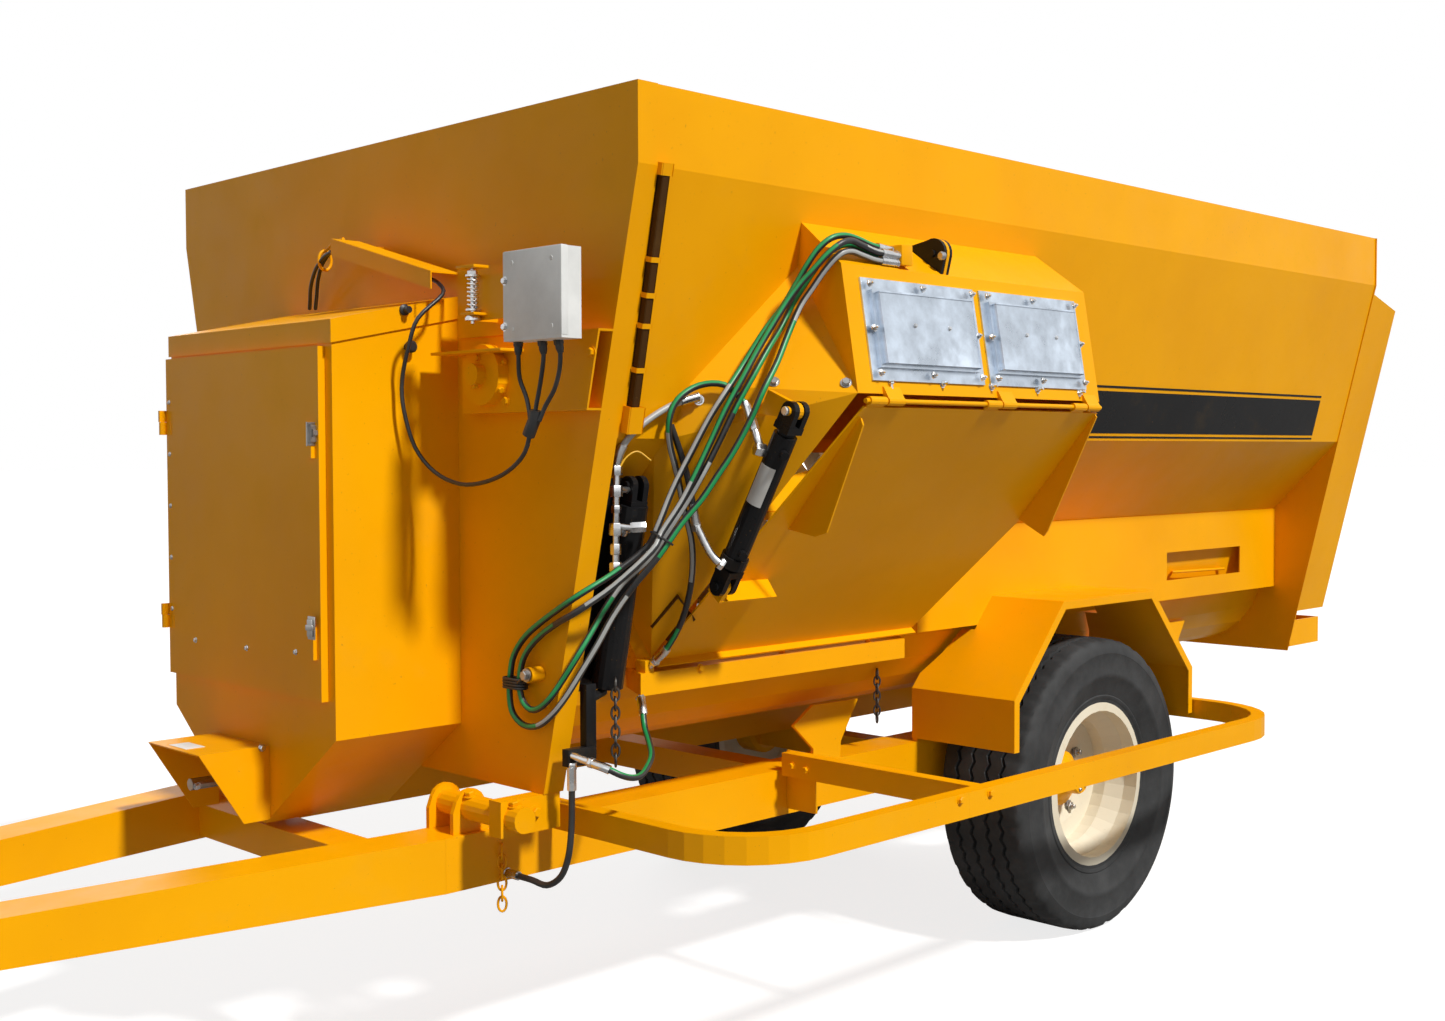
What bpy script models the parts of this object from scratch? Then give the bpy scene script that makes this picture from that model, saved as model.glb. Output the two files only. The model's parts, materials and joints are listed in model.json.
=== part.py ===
"""Feed mixer wagon: a trailed tank with four augers, a side discharge and a single axle.

Metres, +Z up, +X forward to the hitch, +Y to the machine's left, where it discharges.
The design is laid out from the tank's front plane (x = 0), its centre plane (y = 0) and
the ground (z = 0). At the end everything is moved together, so that the origin is at the
centre of the whole machine's footprint, on the ground.
"""
import math

import bmesh
import bpy
from mathutils import Matrix, Vector

# Clearances
GAP = 0.0003           # between faces that rest on each other
RUN = 0.0006           # running gap of a hub, pin or journal
SWING = 0.006          # least gap beside a piece that swings

# Tank
TANK_LENGTH = 4.45
TANK_HALF = 1.215      # half width of the upright rim
FLOOR_Z = 0.861        # lowest edge of the end walls
FLOOR_HALF = 0.815     # their half width there
SEAM_Z = 1.528         # where the side meets the trough
SEAM_Y = 0.742
SIDE_HEIGHT = 1.222    # from that seam to the top
CREASE_RISE = 0.312    # from the seam to where the side leans in further
RIM_HEIGHT = 0.21      # upright rim
TANK_TOP = SEAM_Z + SIDE_HEIGHT
CREASE_Z = SEAM_Z + CREASE_RISE
RIM_FOOT = TANK_TOP - RIM_HEIGHT
SHEET = 0.005          # side, skirt and cabinet sheet
WALL = 0.006           # end walls and trough
RIM_LIP = 0.030        # inward fold along the top
FRONT_FLANGE = 0.07    # return of the front wall along its slanted edges
REAR_WING = 0.27       # depth of the rear wall's side wings
WING_DROP = 0.25       # from the tank's top to the top of the wings
WING_SLOPE = 0.06      # what their top loses to the rear
WING_RISE = 0.19       # from the walls' foot to the foot of the wings
STEP_RISE = 0.14       # height of the channel along the foot of the rear wall
STEP_DEPTH = 0.30

# Troughs and augers
TROUGH_Y = 0.335
TROUGH_Z = 1.23
TROUGH_R = 0.345       # outside of the trough sheet
TROUGH_STEPS = 11
SKIRT_FOOT = 1.161
SKIRT_Y = SEAM_Y + GAP + SHEET
HATCH = (-4.11, -3.46, 1.245, 1.365)   # slot in the left skirt: x, x, z, z
LOWER_AUGER_R = 0.305
UPPER_AUGER_R = 0.36
UPPER_AUGER_IN = 0.562 # from the rim's outside in to the upper shafts
UPPER_AUGER_DROP = 0.732
UPPER_AUGER_Y = TANK_HALF - UPPER_AUGER_IN
UPPER_AUGER_Z = TANK_TOP - UPPER_AUGER_DROP
AUGER_SHAFT_R = 0.055
AUGER_PITCH = 0.60
FLIGHT = 0.010
FLIGHT_STEPS = 10      # sections in a turn
AUGER_END_GAP = 0.03
BEARING_R = 0.085
BEARING_T = 0.035

# Drive cabinet on the front wall
CABINET_DEPTH = 0.417
CABINET_LEFT = 0.434
CABINET_RIGHT = -0.497
CABINET_DROP = 0.496   # from the tank's top to the lid's rear edge
CABINET_FALL = 0.088   # what the lid loses to the front
CABINET_BACK_Z = TANK_TOP - CABINET_DROP
CABINET_FRONT_Z = CABINET_BACK_Z - CABINET_FALL
CABINET_HEM = 0.064
HOPPER_Z = 1.015       # where the cabinet starts to taper
HOPPER_FOOT = 0.727
HOPPER_HALF = 0.08
DOOR_LEFT = 0.400
DOOR_FOOT = 1.120
DOOR_HINGES = (1.300, 1.900)
DOOR_T = 0.022

# Power shaft
PTO_Y = -0.08
PTO_Z = 0.846
PTO_TIP = 0.585
PTO_SHAFT_R = 0.0175
PTO_COLLAR_R = 0.045
SHIELD_HALF = 0.155
SHIELD_TOP = 0.957
SHIELD_FOOT = 0.742
SHIELD_REACH = 0.636
SHIELD_FOOT_REACH = 0.50

# Frame
RAIL_Z = 0.588
RAIL_H = 0.153
RAIL_W = 0.152
RAIL_OUTER = 0.635
RAIL_WALL = 0.008
KINK_X = 0.20
RAIL_END = -3.60
CROSS_FRONT = 0.05     # ahead of the kink
CROSS_MID = -1.30
CROSS_REAR = 0.18      # ahead of the rails' end
CROSS_LIFT = 0.012
TONGUE_SLOPE = 0.185   # y lost for each metre forward
TONGUE_END = 2.20
NOSE_H = 0.100         # height of the tongue beams at the nose
HITCH_TIP = 2.56
CROSS_W = 0.12
CROSS_H = 0.10

# Axle and wheels
AXLE_X = -2.50
TYRE_R = 0.5485
TYRE_OUTER = 1.045
TYRE_W = 0.375
TYRE_WALL = 0.022
RIM_R = 0.2860         # bead seat
WHEEL_STEPS = 32       # facets round a wheel
AXLE_BEAM = 0.100
HUB_R = 0.105

# Fenders
FENDER_X = -2.50
FENDER_HALF = 0.615
FENDER_TOP_HALF = 0.31
FENDER_Z = 0.752
FENDER_KNEE = 0.936
FENDER_TOP = 1.262
FENDER_IN = 0.610
FENDER_OUT = 1.060
FENDER_LIP = 0.030

# Guard bar on the left
GUARD_Z = 0.728
GUARD_H = 0.076
GUARD_W = 0.050
GUARD_Y = 1.450        # its middle line
GUARD_FRONT = -0.15
GUARD_REAR = -3.150
GUARD_R_FRONT = 0.27
GUARD_R_REAR = 0.33
GUARD_SEAM = -1.06

# Discharge on the left side
HOOD_FRONT = -0.60
HOOD_REAR = -1.81
HOOD_TOP_OUT = 0.161   # from the tank's rim out to the roof's edge
HOOD_FOOT_OUT = 0.222  # and out to the foot of the face
HOOD_DROP = 0.430      # from the tank's top to the roof's edge
HOOD_FACE = 0.357      # height of the face
HOOD_ROOF_RISE = 0.154 # what the roof gains towards the tank
HOOD_TOP_Y = TANK_HALF + HOOD_TOP_OUT
HOOD_TOP_Z = TANK_TOP - HOOD_DROP
HOOD_FOOT_Y = TANK_HALF + HOOD_FOOT_OUT
HOOD_FOOT_Z = HOOD_TOP_Z - HOOD_FACE
HINGE_OUT = 0.013      # from the foot of the face to the hinge line
HINGE_DROP = 0.021
HINGE_Y = HOOD_FOOT_Y + HINGE_OUT
HINGE_Z = HOOD_FOOT_Z - HINGE_DROP
HINGE_R = 0.0125
HINGE_PIN_R = 0.007
DOOR_PLATE = 0.006
DOOR_REACH = 0.0295    # from the sill's edge back to the foot of the discharge door
DOOR_LIFT = 0.0313     # from the sill up to it
KNUCKLE = 0.07
KNUCKLES = (-0.665, -0.742, -1.205, -1.282, -1.668, -1.745)
SILL_TOP = 1.165
SILL_Y = 0.850
SILL_FRONT = -0.37
SILL_REAR = -1.62
DOOR_FOOT_Y = SILL_Y - DOOR_REACH
DOOR_FOOT_Z = SILL_TOP + DOOR_LIFT
DOOR_LENGTH = math.hypot(DOOR_FOOT_Y - HINGE_Y, DOOR_FOOT_Z - HINGE_Z)
DOOR_DOWN_Y = (DOOR_FOOT_Y - HINGE_Y) / DOOR_LENGTH
DOOR_DOWN_Z = (DOOR_FOOT_Z - HINGE_Z) / DOOR_LENGTH
MAGNET_T = 0.018
MAGNET_W = 0.52
MAGNET_MARGIN = 0.067  # of the hood's face above and below them together
MAGNET_X = (-0.925, -1.475)

# Display and cable channel
INDICATOR_DROP = 0.430
CHANNEL_DROP = 0.302

# Cylinders
CYL_X = -0.430
CYL_TOP_IN = 0.088     # from the hinge line in and down to the cylinder's upper pin
CYL_TOP_DROP = 0.030
CYL_LOW_RISE = 0.348   # from the door's foot up the door to the lower pin
CYL_LOW_OUT = 0.055    # and out from its inner face
CYL_R = 0.034
CYL_ROD_R = 0.016
PIN_R = 0.0125
EAR_T = 0.016          # lug plate between the cheeks of a fork
FORK_GAP = 0.0025      # on each side of a lug
FORK_T = 0.018
FORK_R = 0.027
FORK_THROAT = 0.040    # from a pin to the bottom of its fork
FORK_BASE = 0.060
PIN_HEAD = 0.008
ROD_START = 0.125      # inside the barrel, from the upper pin
GATE_X = -0.182
GATE_TOP_OUT = 0.074   # from the tank's side out to the gate cylinder's pins
GATE_TOP_Z = 1.712
GATE_LOW_Y = 0.868
GATE_LOW_Z = 1.120
GATE_R = 0.045
GATE_PLATE = (-0.228, -0.105)
SHELF_DROP = 0.012     # from the lower fork down to the shelf that carries its lug

# Fork on the hood
STAY_X = -1.070
STAY_IN = 0.034        # from the roof's outer edge in to the pin
STAY_RISE = 0.066
STAY_FOOT = 0.130      # how far in its foot reaches
STAY_R = 0.045
STAY_PIN_R = 0.011
STAY_LUG = 0.012
STAY_CHEEK = 0.010

# Jack
JACK_X = 1.60
JACK_TUBE = 0.076
JACK_FOOT_Z = 0.36     # lower end of its tube
JACK_HEAD_Z = 1.02
JACK_WALL = 0.006
JACK_LEG_TOP = 0.600
JACK_FOOT = 0.20

COLLECTION = "feed_mixer_wagon"
finishes = {
    "paint": ((0.92, 0.42, 0.012, 1.0), 0.38, 0.0),
    "black": ((0.012, 0.012, 0.013, 1.0), 0.35, 0.0),
    "zinc": ((0.62, 0.63, 0.64, 1.0), 0.30, 1.0),
    "galvanised": ((0.55, 0.60, 0.64, 1.0), 0.42, 1.0),
    "steel": ((0.45, 0.45, 0.45, 1.0), 0.35, 1.0),
    "tyre": ((0.028, 0.030, 0.034, 1.0), 0.85, 0.0),
    "cream": ((0.78, 0.72, 0.58, 1.0), 0.40, 0.0),
    "white": ((0.80, 0.80, 0.78, 1.0), 0.45, 0.0),
    "hose": ((0.02, 0.02, 0.02, 1.0), 0.6, 0.0),
}


# Scene and materials

def clear_scene():
    for item in list(bpy.data.objects):
        bpy.data.objects.remove(item, do_unlink=True)


def part_collection():
    found = bpy.data.collections.get(COLLECTION)
    if found is None:
        found = bpy.data.collections.new(COLLECTION)
        bpy.context.scene.collection.children.link(found)
    return found


def material(name, finish):
    colour, roughness, metallic = finishes[finish]
    made = bpy.data.materials.new(name + "_" + finish)
    made.use_nodes = True
    shader = made.node_tree.nodes["Principled BSDF"]
    shader.inputs["Base Color"].default_value = colour
    shader.inputs["Roughness"].default_value = roughness
    shader.inputs["Metallic"].default_value = metallic
    made.diffuse_color = colour
    return made


# Shapes: each returns a loose object in the machine's frame

def loose(mesh, name="shape"):
    item = bpy.data.objects.new(name, mesh)
    part_collection().objects.link(item)
    return item


def from_bmesh(bm):
    mesh = bpy.data.meshes.new("shape")
    bm.to_mesh(mesh)
    bm.free()
    return loose(mesh)


def settle(item, weld=0.0):
    """Replace an object's curve or modifiers by the mesh that they make, in world space."""
    graph = bpy.context.evaluated_depsgraph_get()
    mesh = bpy.data.meshes.new_from_object(item.evaluated_get(graph))
    mesh.transform(item.matrix_world)
    bpy.data.objects.remove(item, do_unlink=True)
    if weld > 0.0:
        bm = bmesh.new()
        bm.from_mesh(mesh)
        bmesh.ops.remove_doubles(bm, verts=bm.verts, dist=weld)
        bmesh.ops.recalc_face_normals(bm, faces=bm.faces)
        bm.to_mesh(mesh)
        bm.free()
    return loose(mesh)


def block(low, high):
    bm = bmesh.new()
    size = [b - a for a, b in zip(low, high)]
    middle = [(a + b) / 2 for a, b in zip(low, high)]
    bmesh.ops.create_cube(bm, size=1.0)
    bmesh.ops.scale(bm, vec=size, verts=bm.verts)
    bmesh.ops.translate(bm, vec=middle, verts=bm.verts)
    return from_bmesh(bm)


def rod(start, end, radius, sides=16, end_radius=None):
    start, end = Vector(start), Vector(end)
    along = end - start
    bm = bmesh.new()
    bmesh.ops.create_cone(bm, cap_ends=True, segments=sides, radius1=radius,
                          radius2=radius if end_radius is None else end_radius,
                          depth=along.length)
    turn = along.to_track_quat("Z", "Y").to_matrix().to_4x4()
    bmesh.ops.transform(bm, verts=bm.verts,
                        matrix=Matrix.Translation((start + end) / 2) @ turn)
    return from_bmesh(bm)


AXES = {
    "x": Matrix(((0, 0, 1, 0), (1, 0, 0, 0), (0, 1, 0, 0), (0, 0, 0, 1))),
    "y": Matrix(((1, 0, 0, 0), (0, 0, -1, 0), (0, 1, 0, 0), (0, 0, 0, 1))),
    "z": Matrix.Identity(4),
}


def plate(outline, axis, low, high, holes=()):
    """A flat outline extruded from low to high along an axis.

    Its points are (y, z) for axis x, (x, z) for axis y and (x, y) for axis z.
    """
    curve = bpy.data.curves.new("outline", "CURVE")
    curve.dimensions = "2D"
    curve.fill_mode = "BOTH"
    curve.extrude = (high - low) / 2
    curve.resolution_u = 1
    for points in (outline, *holes):
        spline = curve.splines.new("POLY")
        spline.points.add(len(points) - 1)
        for point, (u, v) in zip(spline.points, points):
            point.co = (u, v, 0.0, 1.0)
        spline.use_cyclic_u = True
    item = bpy.data.objects.new("outline", curve)
    part_collection().objects.link(item)
    middle = (low + high) / 2
    shift = {"x": (middle, 0, 0), "y": (0, middle, 0), "z": (0, 0, middle)}[axis]
    item.matrix_world = Matrix.Translation(shift) @ AXES[axis]
    bpy.context.view_layer.update()
    return settle(item, weld=1e-6)


def sheet(section, low, high, thickness, inward=True):
    """An open (y, z) section drawn out along x and given a thickness on one side."""
    bm = bmesh.new()
    rows = []
    for x in (low, high):
        rows.append([bm.verts.new((x, y, z)) for y, z in section])
    for i in range(len(section) - 1):
        bm.faces.new((rows[1][i], rows[1][i + 1], rows[0][i + 1], rows[0][i]))
    item = from_bmesh(bm)
    thick = item.modifiers.new("Thickness", "SOLIDIFY")
    thick.thickness = thickness
    thick.offset = -1.0 if inward else 1.0
    thick.use_even_offset = True
    return settle(item)


def turned(profile, steps, closed=False):
    """A (radius, height) profile turned about z; it runs top to bottom on the outer side."""
    bm = bmesh.new()
    points = [bm.verts.new((r, 0.0, h)) for r, h in profile]
    for a, b in zip(points, points[1:]):
        bm.edges.new((a, b))
    if closed:
        bm.edges.new((points[-1], points[0]))
    item = from_bmesh(bm)
    screw = item.modifiers.new("Turn", "SCREW")
    screw.steps = steps
    screw.render_steps = steps
    screw.use_merge_vertices = True
    screw.merge_threshold = 1e-5
    screw.use_normal_calculate = True
    return settle(item, weld=1e-6)


def move(item, matrix):
    item.data.transform(matrix)
    return item


def mirrored(item):
    """The same shape on the machine's other side."""
    mesh = item.data.copy()
    mesh.transform(Matrix.Scale(-1.0, 4, (0, 1, 0)))
    mesh.flip_normals()
    return loose(mesh)


def combine(item, tools, operation):
    for tool in tools:
        change = item.modifiers.new("Combine", "BOOLEAN")
        change.object = tool
        change.operation = operation
        change.solver = "EXACT"
        item = settle(item)
        bpy.data.objects.remove(tool, do_unlink=True)
    return item


def join(item, *tools):
    return combine(item, tools, "UNION")


def cut(item, *tools):
    return combine(item, tools, "DIFFERENCE")


def finish(name, item, look, pivot=(0.0, 0.0, 0.0), smooth=None):
    """Name a shape as one of the wagon's pieces, with its origin at its pivot."""
    mesh = item.data
    mesh.name = name
    mesh.transform(Matrix.Translation(-Vector(pivot)))
    mesh.materials.clear()
    mesh.materials.append(material(name, look))
    if smooth is not None:
        mesh.shade_smooth()
        mesh.set_sharp_from_angle(angle=math.radians(smooth))
    item.name = name
    item.location = pivot
    return item


# Outlines

def half_width(z):
    """Outer half width of the end walls at a height."""
    if z >= RIM_FOOT:
        return TANK_HALF
    share = (z - FLOOR_Z) / (RIM_FOOT - FLOOR_Z)
    return FLOOR_HALF + (TANK_HALF - FLOOR_HALF) * share


def wall_outline(inset, foot, top):
    heights = (foot, RIM_FOOT, top)
    right = [(-half_width(z) + inset, z) for z in heights]
    left = [(half_width(z) - inset, z) for z in reversed(heights)]
    return left + right


def arc(centre, radius, start, end, steps):
    """Points on an arc, angles in degrees."""
    points = []
    for i in range(steps + 1):
        angle = math.radians(start + (end - start) * i / steps)
        points.append((centre[0] + radius * math.cos(angle),
                       centre[1] + radius * math.sin(angle)))
    return points


def offset_path(points, distance):
    """An open path moved sideways to its right, with mitred corners."""
    moved = []
    for i, here in enumerate(points):
        before = Vector(points[max(i - 1, 0)])
        after = Vector(points[min(i + 1, len(points) - 1)])
        here = Vector(here)
        first = (here - before) if i > 0 else (after - here)
        second = (after - here) if i < len(points) - 1 else (here - before)
        first.normalize()
        second.normalize()
        normal_a = Vector((first.y, -first.x))
        normal_b = Vector((second.y, -second.x))
        mitre = normal_a + normal_b
        mitre.normalize()
        moved.append(tuple(here + mitre * (distance / mitre.dot(normal_a))))
    return moved


def band(points, near, far):
    """A closed outline between two offsets of an open path."""
    return offset_path(points, near) + offset_path(points, far)[::-1]


# Tank

def front_bulkhead():
    body = plate(wall_outline(0.0, FLOOR_Z, TANK_TOP), "x", -FRONT_FLANGE, 0.0)
    hollow = plate(wall_outline(SHEET, FLOOR_Z + SHEET, TANK_TOP + SHEET), "x",
                   -2 * FRONT_FLANGE, -WALL)
    return finish("front_bulkhead", cut(body, hollow), "paint")


def rear_bulkhead():
    front = -TANK_LENGTH
    back = front - WALL
    body = plate(wall_outline(0.0, FLOOR_Z, TANK_TOP), "x", front - REAR_WING, front)
    hollow = plate(wall_outline(SHEET, FLOOR_Z - 0.05, TANK_TOP + 0.05), "x", front - 1.0, back)
    below = block((front - 1.0, -TANK_LENGTH, 0.0), (back, TANK_LENGTH, FLOOR_Z + WING_RISE))
    wing_top = TANK_TOP - WING_DROP
    beyond = 2 * REAR_WING
    slope = [(back, wing_top), (back - beyond, wing_top - WING_SLOPE * beyond / REAR_WING),
             (back - beyond, TANK_TOP + beyond), (back, TANK_TOP + beyond)]
    body = cut(body, hollow, below, plate(slope, "y", -TANK_LENGTH, TANK_LENGTH))
    low = FLOOR_Z + 0.02
    half = half_width(FLOOR_Z) + 0.01
    top = FLOOR_Z + STEP_RISE
    step = block((front - STEP_DEPTH, -half, low), (front - WALL / 2, half, top))
    inner = block((front - STEP_DEPTH + WALL, -half + WALL, low + WALL),
                  (back - 0.002, half - WALL, top + STEP_RISE))
    return finish("rear_bulkhead", join(body, cut(step, inner)), "paint")


def side_section():
    inset = SHEET + GAP
    return [
        (TANK_HALF - inset - RIM_LIP, TANK_TOP),
        (TANK_HALF - inset, TANK_TOP),
        (TANK_HALF - inset, RIM_FOOT),
        (half_width(CREASE_Z) - inset, CREASE_Z),
        (SEAM_Y, SEAM_Z),
    ]


def tank_span():
    return -(WALL + GAP), -TANK_LENGTH + GAP


def discharge_cut(low, high):
    return block((HOOD_REAR + 0.22, 0.45, low), (HOOD_FRONT - 0.10, 1.10, high))


def side_left():
    front, rear = tank_span()
    body = sheet(side_section(), rear, front, SHEET)
    body = cut(body, discharge_cut(SEAM_Z - 0.1, CREASE_Z - 0.04))
    return finish("side_left", body, "paint")


def side_right():
    front, rear = tank_span()
    body = mirrored_sheet(side_section(), rear, front, SHEET)
    return finish("side_right", body, "paint")


def mirrored_sheet(section, low, high, thickness):
    made = sheet(section, low, high, thickness)
    other = mirrored(made)
    bpy.data.objects.remove(made, do_unlink=True)
    return other


def trough_section():
    ridge = math.degrees(math.acos(TROUGH_Y / TROUGH_R))
    left = [(SEAM_Y, SEAM_Z - GAP)]
    left += arc((TROUGH_Y, TROUGH_Z), TROUGH_R, 0.0, -180.0 + ridge, TROUGH_STEPS)
    right = [(-y, z) for y, z in reversed(left[:-1])]
    return left[:-1] + [(0.0, left[-1][1])] + right


def trough():
    front, rear = tank_span()
    body = sheet(trough_section(), rear, front, WALL)
    body = cut(body, discharge_cut(TROUGH_Z + 0.02, SEAM_Z + 0.1))
    return finish("trough", body, "paint")


def skirts():
    front, rear = tank_span()
    top = SEAM_Z - 2 * GAP
    left = block((rear, SEAM_Y + GAP, SKIRT_FOOT), (SILL_REAR - 0.12, SKIRT_Y, top))
    x0, x1, z0, z1 = HATCH
    left = cut(left, block((x0, SEAM_Y - 0.1, z0), (x1, SKIRT_Y + 0.1, z1)))
    right = block((rear, -SKIRT_Y, SKIRT_FOOT), (-FRONT_FLANGE - 0.01, -SEAM_Y - GAP, top))
    finish("skirt_left", left, "paint")
    finish("skirt_right", right, "paint")


# Augers

AUGERS = (
    # name, y, z, flight radius, hand, angle of the first section
    ("auger_lower_left", TROUGH_Y, TROUGH_Z, LOWER_AUGER_R, 1, 0.0),
    ("auger_lower_right", -TROUGH_Y, TROUGH_Z, LOWER_AUGER_R, -1, 180.0),
    ("auger_upper_left", UPPER_AUGER_Y, UPPER_AUGER_Z, UPPER_AUGER_R, -1, 90.0),
    ("auger_upper_right", -UPPER_AUGER_Y, UPPER_AUGER_Z, UPPER_AUGER_R, 1, 270.0),
)


def flighting(y, z, radius, hand, phase):
    """A helical blade from the front wall to the rear one, closed at both ends."""
    start = -(WALL + AUGER_END_GAP)
    end = -TANK_LENGTH + AUGER_END_GAP + FLIGHT
    turns = (start - end) / AUGER_PITCH
    count = round(turns * FLIGHT_STEPS)
    inner = AUGER_SHAFT_R - WALL
    bm = bmesh.new()
    rings = []
    for i in range(count + 1):
        x = start + (end - start) * i / count
        angle = math.radians(phase) + hand * 2 * math.pi * turns * i / count
        c, s = math.cos(angle), math.sin(angle)
        corners = ((inner, 0.0), (radius, 0.0), (radius, -FLIGHT), (inner, -FLIGHT))
        rings.append([bm.verts.new((x + along, y + r * c, z + r * s)) for r, along in corners])
    for p, r in zip(rings, rings[1:]):
        for a, b in ((0, 1), (2, 1), (3, 2), (3, 0)):
            bm.faces.new((p[a], p[b], r[b]))
            bm.faces.new((p[a], r[b], r[a]))
    for ring in (rings[0], rings[-1]):
        bm.faces.new(ring[:3])
        bm.faces.new((ring[0], ring[2], ring[3]))
    bmesh.ops.recalc_face_normals(bm, faces=bm.faces)
    return from_bmesh(bm)


def augers():
    for name, y, z, radius, hand, phase in AUGERS:
        shaft = rod((-(WALL + GAP + RUN), y, z), (-TANK_LENGTH + GAP + RUN, y, z), AUGER_SHAFT_R, 12)
        body = join(shaft, flighting(y, z, radius, hand, phase))
        finish(name, body, "steel", pivot=(-TANK_LENGTH / 2, y, z), smooth=30)


def bearing_plates():
    """Stood-off plates that carry the upper augers' front bearings."""
    low, high = UPPER_AUGER_Z - 0.105, UPPER_AUGER_Z + 0.105
    inner = UPPER_AUGER_Y - 0.13
    outline = [(inner, low), (half_width(low), low), (half_width(high), high), (inner, high)]
    body = plate(outline, "x", GAP, 0.05)
    hollow = block((-0.01, inner + WALL, low + WALL), (0.05 - WALL, TANK_HALF, high - WALL))
    body = cut(body, hollow)
    boss = rod((0.04, UPPER_AUGER_Y, UPPER_AUGER_Z), (0.05 + BEARING_T, UPPER_AUGER_Y, UPPER_AUGER_Z),
               BEARING_R, 20)
    stub = rod((0.045, UPPER_AUGER_Y, UPPER_AUGER_Z), (0.05 + BEARING_T + 0.03, UPPER_AUGER_Y, UPPER_AUGER_Z),
               0.03, 14)
    body = join(body, boss, stub)
    other = mirrored(body)
    finish("bearing_plate_left", body, "paint")
    finish("bearing_plate_right", other, "paint")


# Drive cabinet

def cabinet_middle():
    return (CABINET_LEFT + CABINET_RIGHT) / 2


def cabinet_outline(inset, top):
    middle = cabinet_middle()
    return [
        (CABINET_LEFT - inset, top), (CABINET_LEFT - inset, HOPPER_Z),
        (middle + HOPPER_HALF - inset, HOPPER_FOOT + inset),
        (middle - HOPPER_HALF + inset, HOPPER_FOOT + inset),
        (CABINET_RIGHT + inset, HOPPER_Z), (CABINET_RIGHT + inset, top),
    ]


def cabinet():
    top = CABINET_BACK_Z - SHEET - GAP
    body = plate(cabinet_outline(0.0, top), "x", GAP, CABINET_DEPTH)
    hollow = plate(cabinet_outline(SHEET, top + 0.1), "x", -0.1, CABINET_DEPTH - SHEET)
    body = cut(body, hollow)
    slope_top = CABINET_FRONT_Z - SHEET - GAP
    wedge = [(-0.1, top + (top - slope_top) * 0.1 / CABINET_DEPTH),
             (CABINET_DEPTH + 0.1, slope_top - (top - slope_top) * 0.1 / CABINET_DEPTH),
             (CABINET_DEPTH + 0.1, top + 0.3), (-0.1, top + 0.3)]
    body = cut(body, plate(wedge, "y", CABINET_RIGHT - 0.1, CABINET_LEFT + 0.1))
    opening = block((CABINET_DEPTH - 0.05, CABINET_RIGHT + 0.03, DOOR_FOOT + 0.02),
                    (CABINET_DEPTH + 0.05, DOOR_LEFT - 0.02, CABINET_FRONT_Z - CABINET_HEM - 0.03))
    body = cut(body, opening)
    hinge_x = CABINET_DEPTH + GAP * 2 + DOOR_T + 0.008
    hinge_y = CABINET_RIGHT - 0.002
    for z in DOOR_HINGES:
        bracket = block((CABINET_DEPTH - 0.05, CABINET_RIGHT - 0.008, z), (hinge_x + 0.011, CABINET_RIGHT + 0.002, z + 0.035))
        bracket = cut(bracket, block((CABINET_DEPTH, CABINET_RIGHT + 0.001, z - 0.01), (hinge_x + 0.02, CABINET_RIGHT + 0.01, z + 0.05)))
        body = join(body, bracket, rod((hinge_x, hinge_y, z - 0.035), (hinge_x, hinge_y, z + 0.01), 0.0058, 12))
    finish("cabinet_shell", body, "paint")

    front = CABINET_DEPTH + 0.006
    drop = (CABINET_BACK_Z - CABINET_FRONT_Z) / (front - GAP)
    lid = [(GAP, CABINET_BACK_Z), (front, CABINET_FRONT_Z), (front, CABINET_FRONT_Z - CABINET_HEM),
           (GAP, CABINET_BACK_Z - CABINET_HEM)]
    under = [(-0.1, CABINET_BACK_Z - SHEET + drop * (GAP + 0.1)),
             (front - SHEET, CABINET_FRONT_Z - SHEET + drop * SHEET),
             (front - SHEET, 1.9), (-0.1, 1.9)]
    cover = plate(lid, "y", CABINET_RIGHT - 0.006, CABINET_LEFT + 0.006)
    cover = cut(cover, plate(under, "y", CABINET_RIGHT - 0.006 + SHEET, CABINET_LEFT + 0.006 - SHEET))
    finish("cabinet_lid", cover, "paint")

    door_x = CABINET_DEPTH + GAP * 2
    top_z = CABINET_FRONT_Z - CABINET_HEM - 0.008
    pan = block((door_x, CABINET_RIGHT + 0.008, DOOR_FOOT), (door_x + DOOR_T, DOOR_LEFT, top_z))
    inner = block((door_x - 0.01, CABINET_RIGHT + 0.008 + SHEET, DOOR_FOOT + SHEET),
                  (door_x + DOOR_T - SHEET, DOOR_LEFT - SHEET, top_z - SHEET))
    pan = cut(pan, inner)
    for z in (DOOR_FOOT + 0.16, top_z - 0.26):
        latch = block((door_x + DOOR_T - 0.002, DOOR_LEFT - 0.055, z - 0.045),
                      (door_x + DOOR_T + 0.012, DOOR_LEFT - 0.02, z + 0.045))
        pan = join(pan, latch)
    hinge_x, hinge_y = door_x + DOOR_T + 0.008, CABINET_RIGHT - 0.002
    for z in DOOR_HINGES:
        knuckle = rod((hinge_x, hinge_y, z - 0.040), (hinge_x, hinge_y, z - RUN), 0.011, 14)
        leaf = block((hinge_x - 0.0135, hinge_y, z - 0.040), (hinge_x - 0.0065, hinge_y + 0.04, z - RUN))
        pan = cut(join(pan, knuckle, leaf), rod((hinge_x, hinge_y, z - 0.05), (hinge_x, hinge_y, z), 0.0065, 12))
    finish("cabinet_door", pan, "paint", pivot=(hinge_x, hinge_y, (DOOR_FOOT + top_z) / 2))


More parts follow.
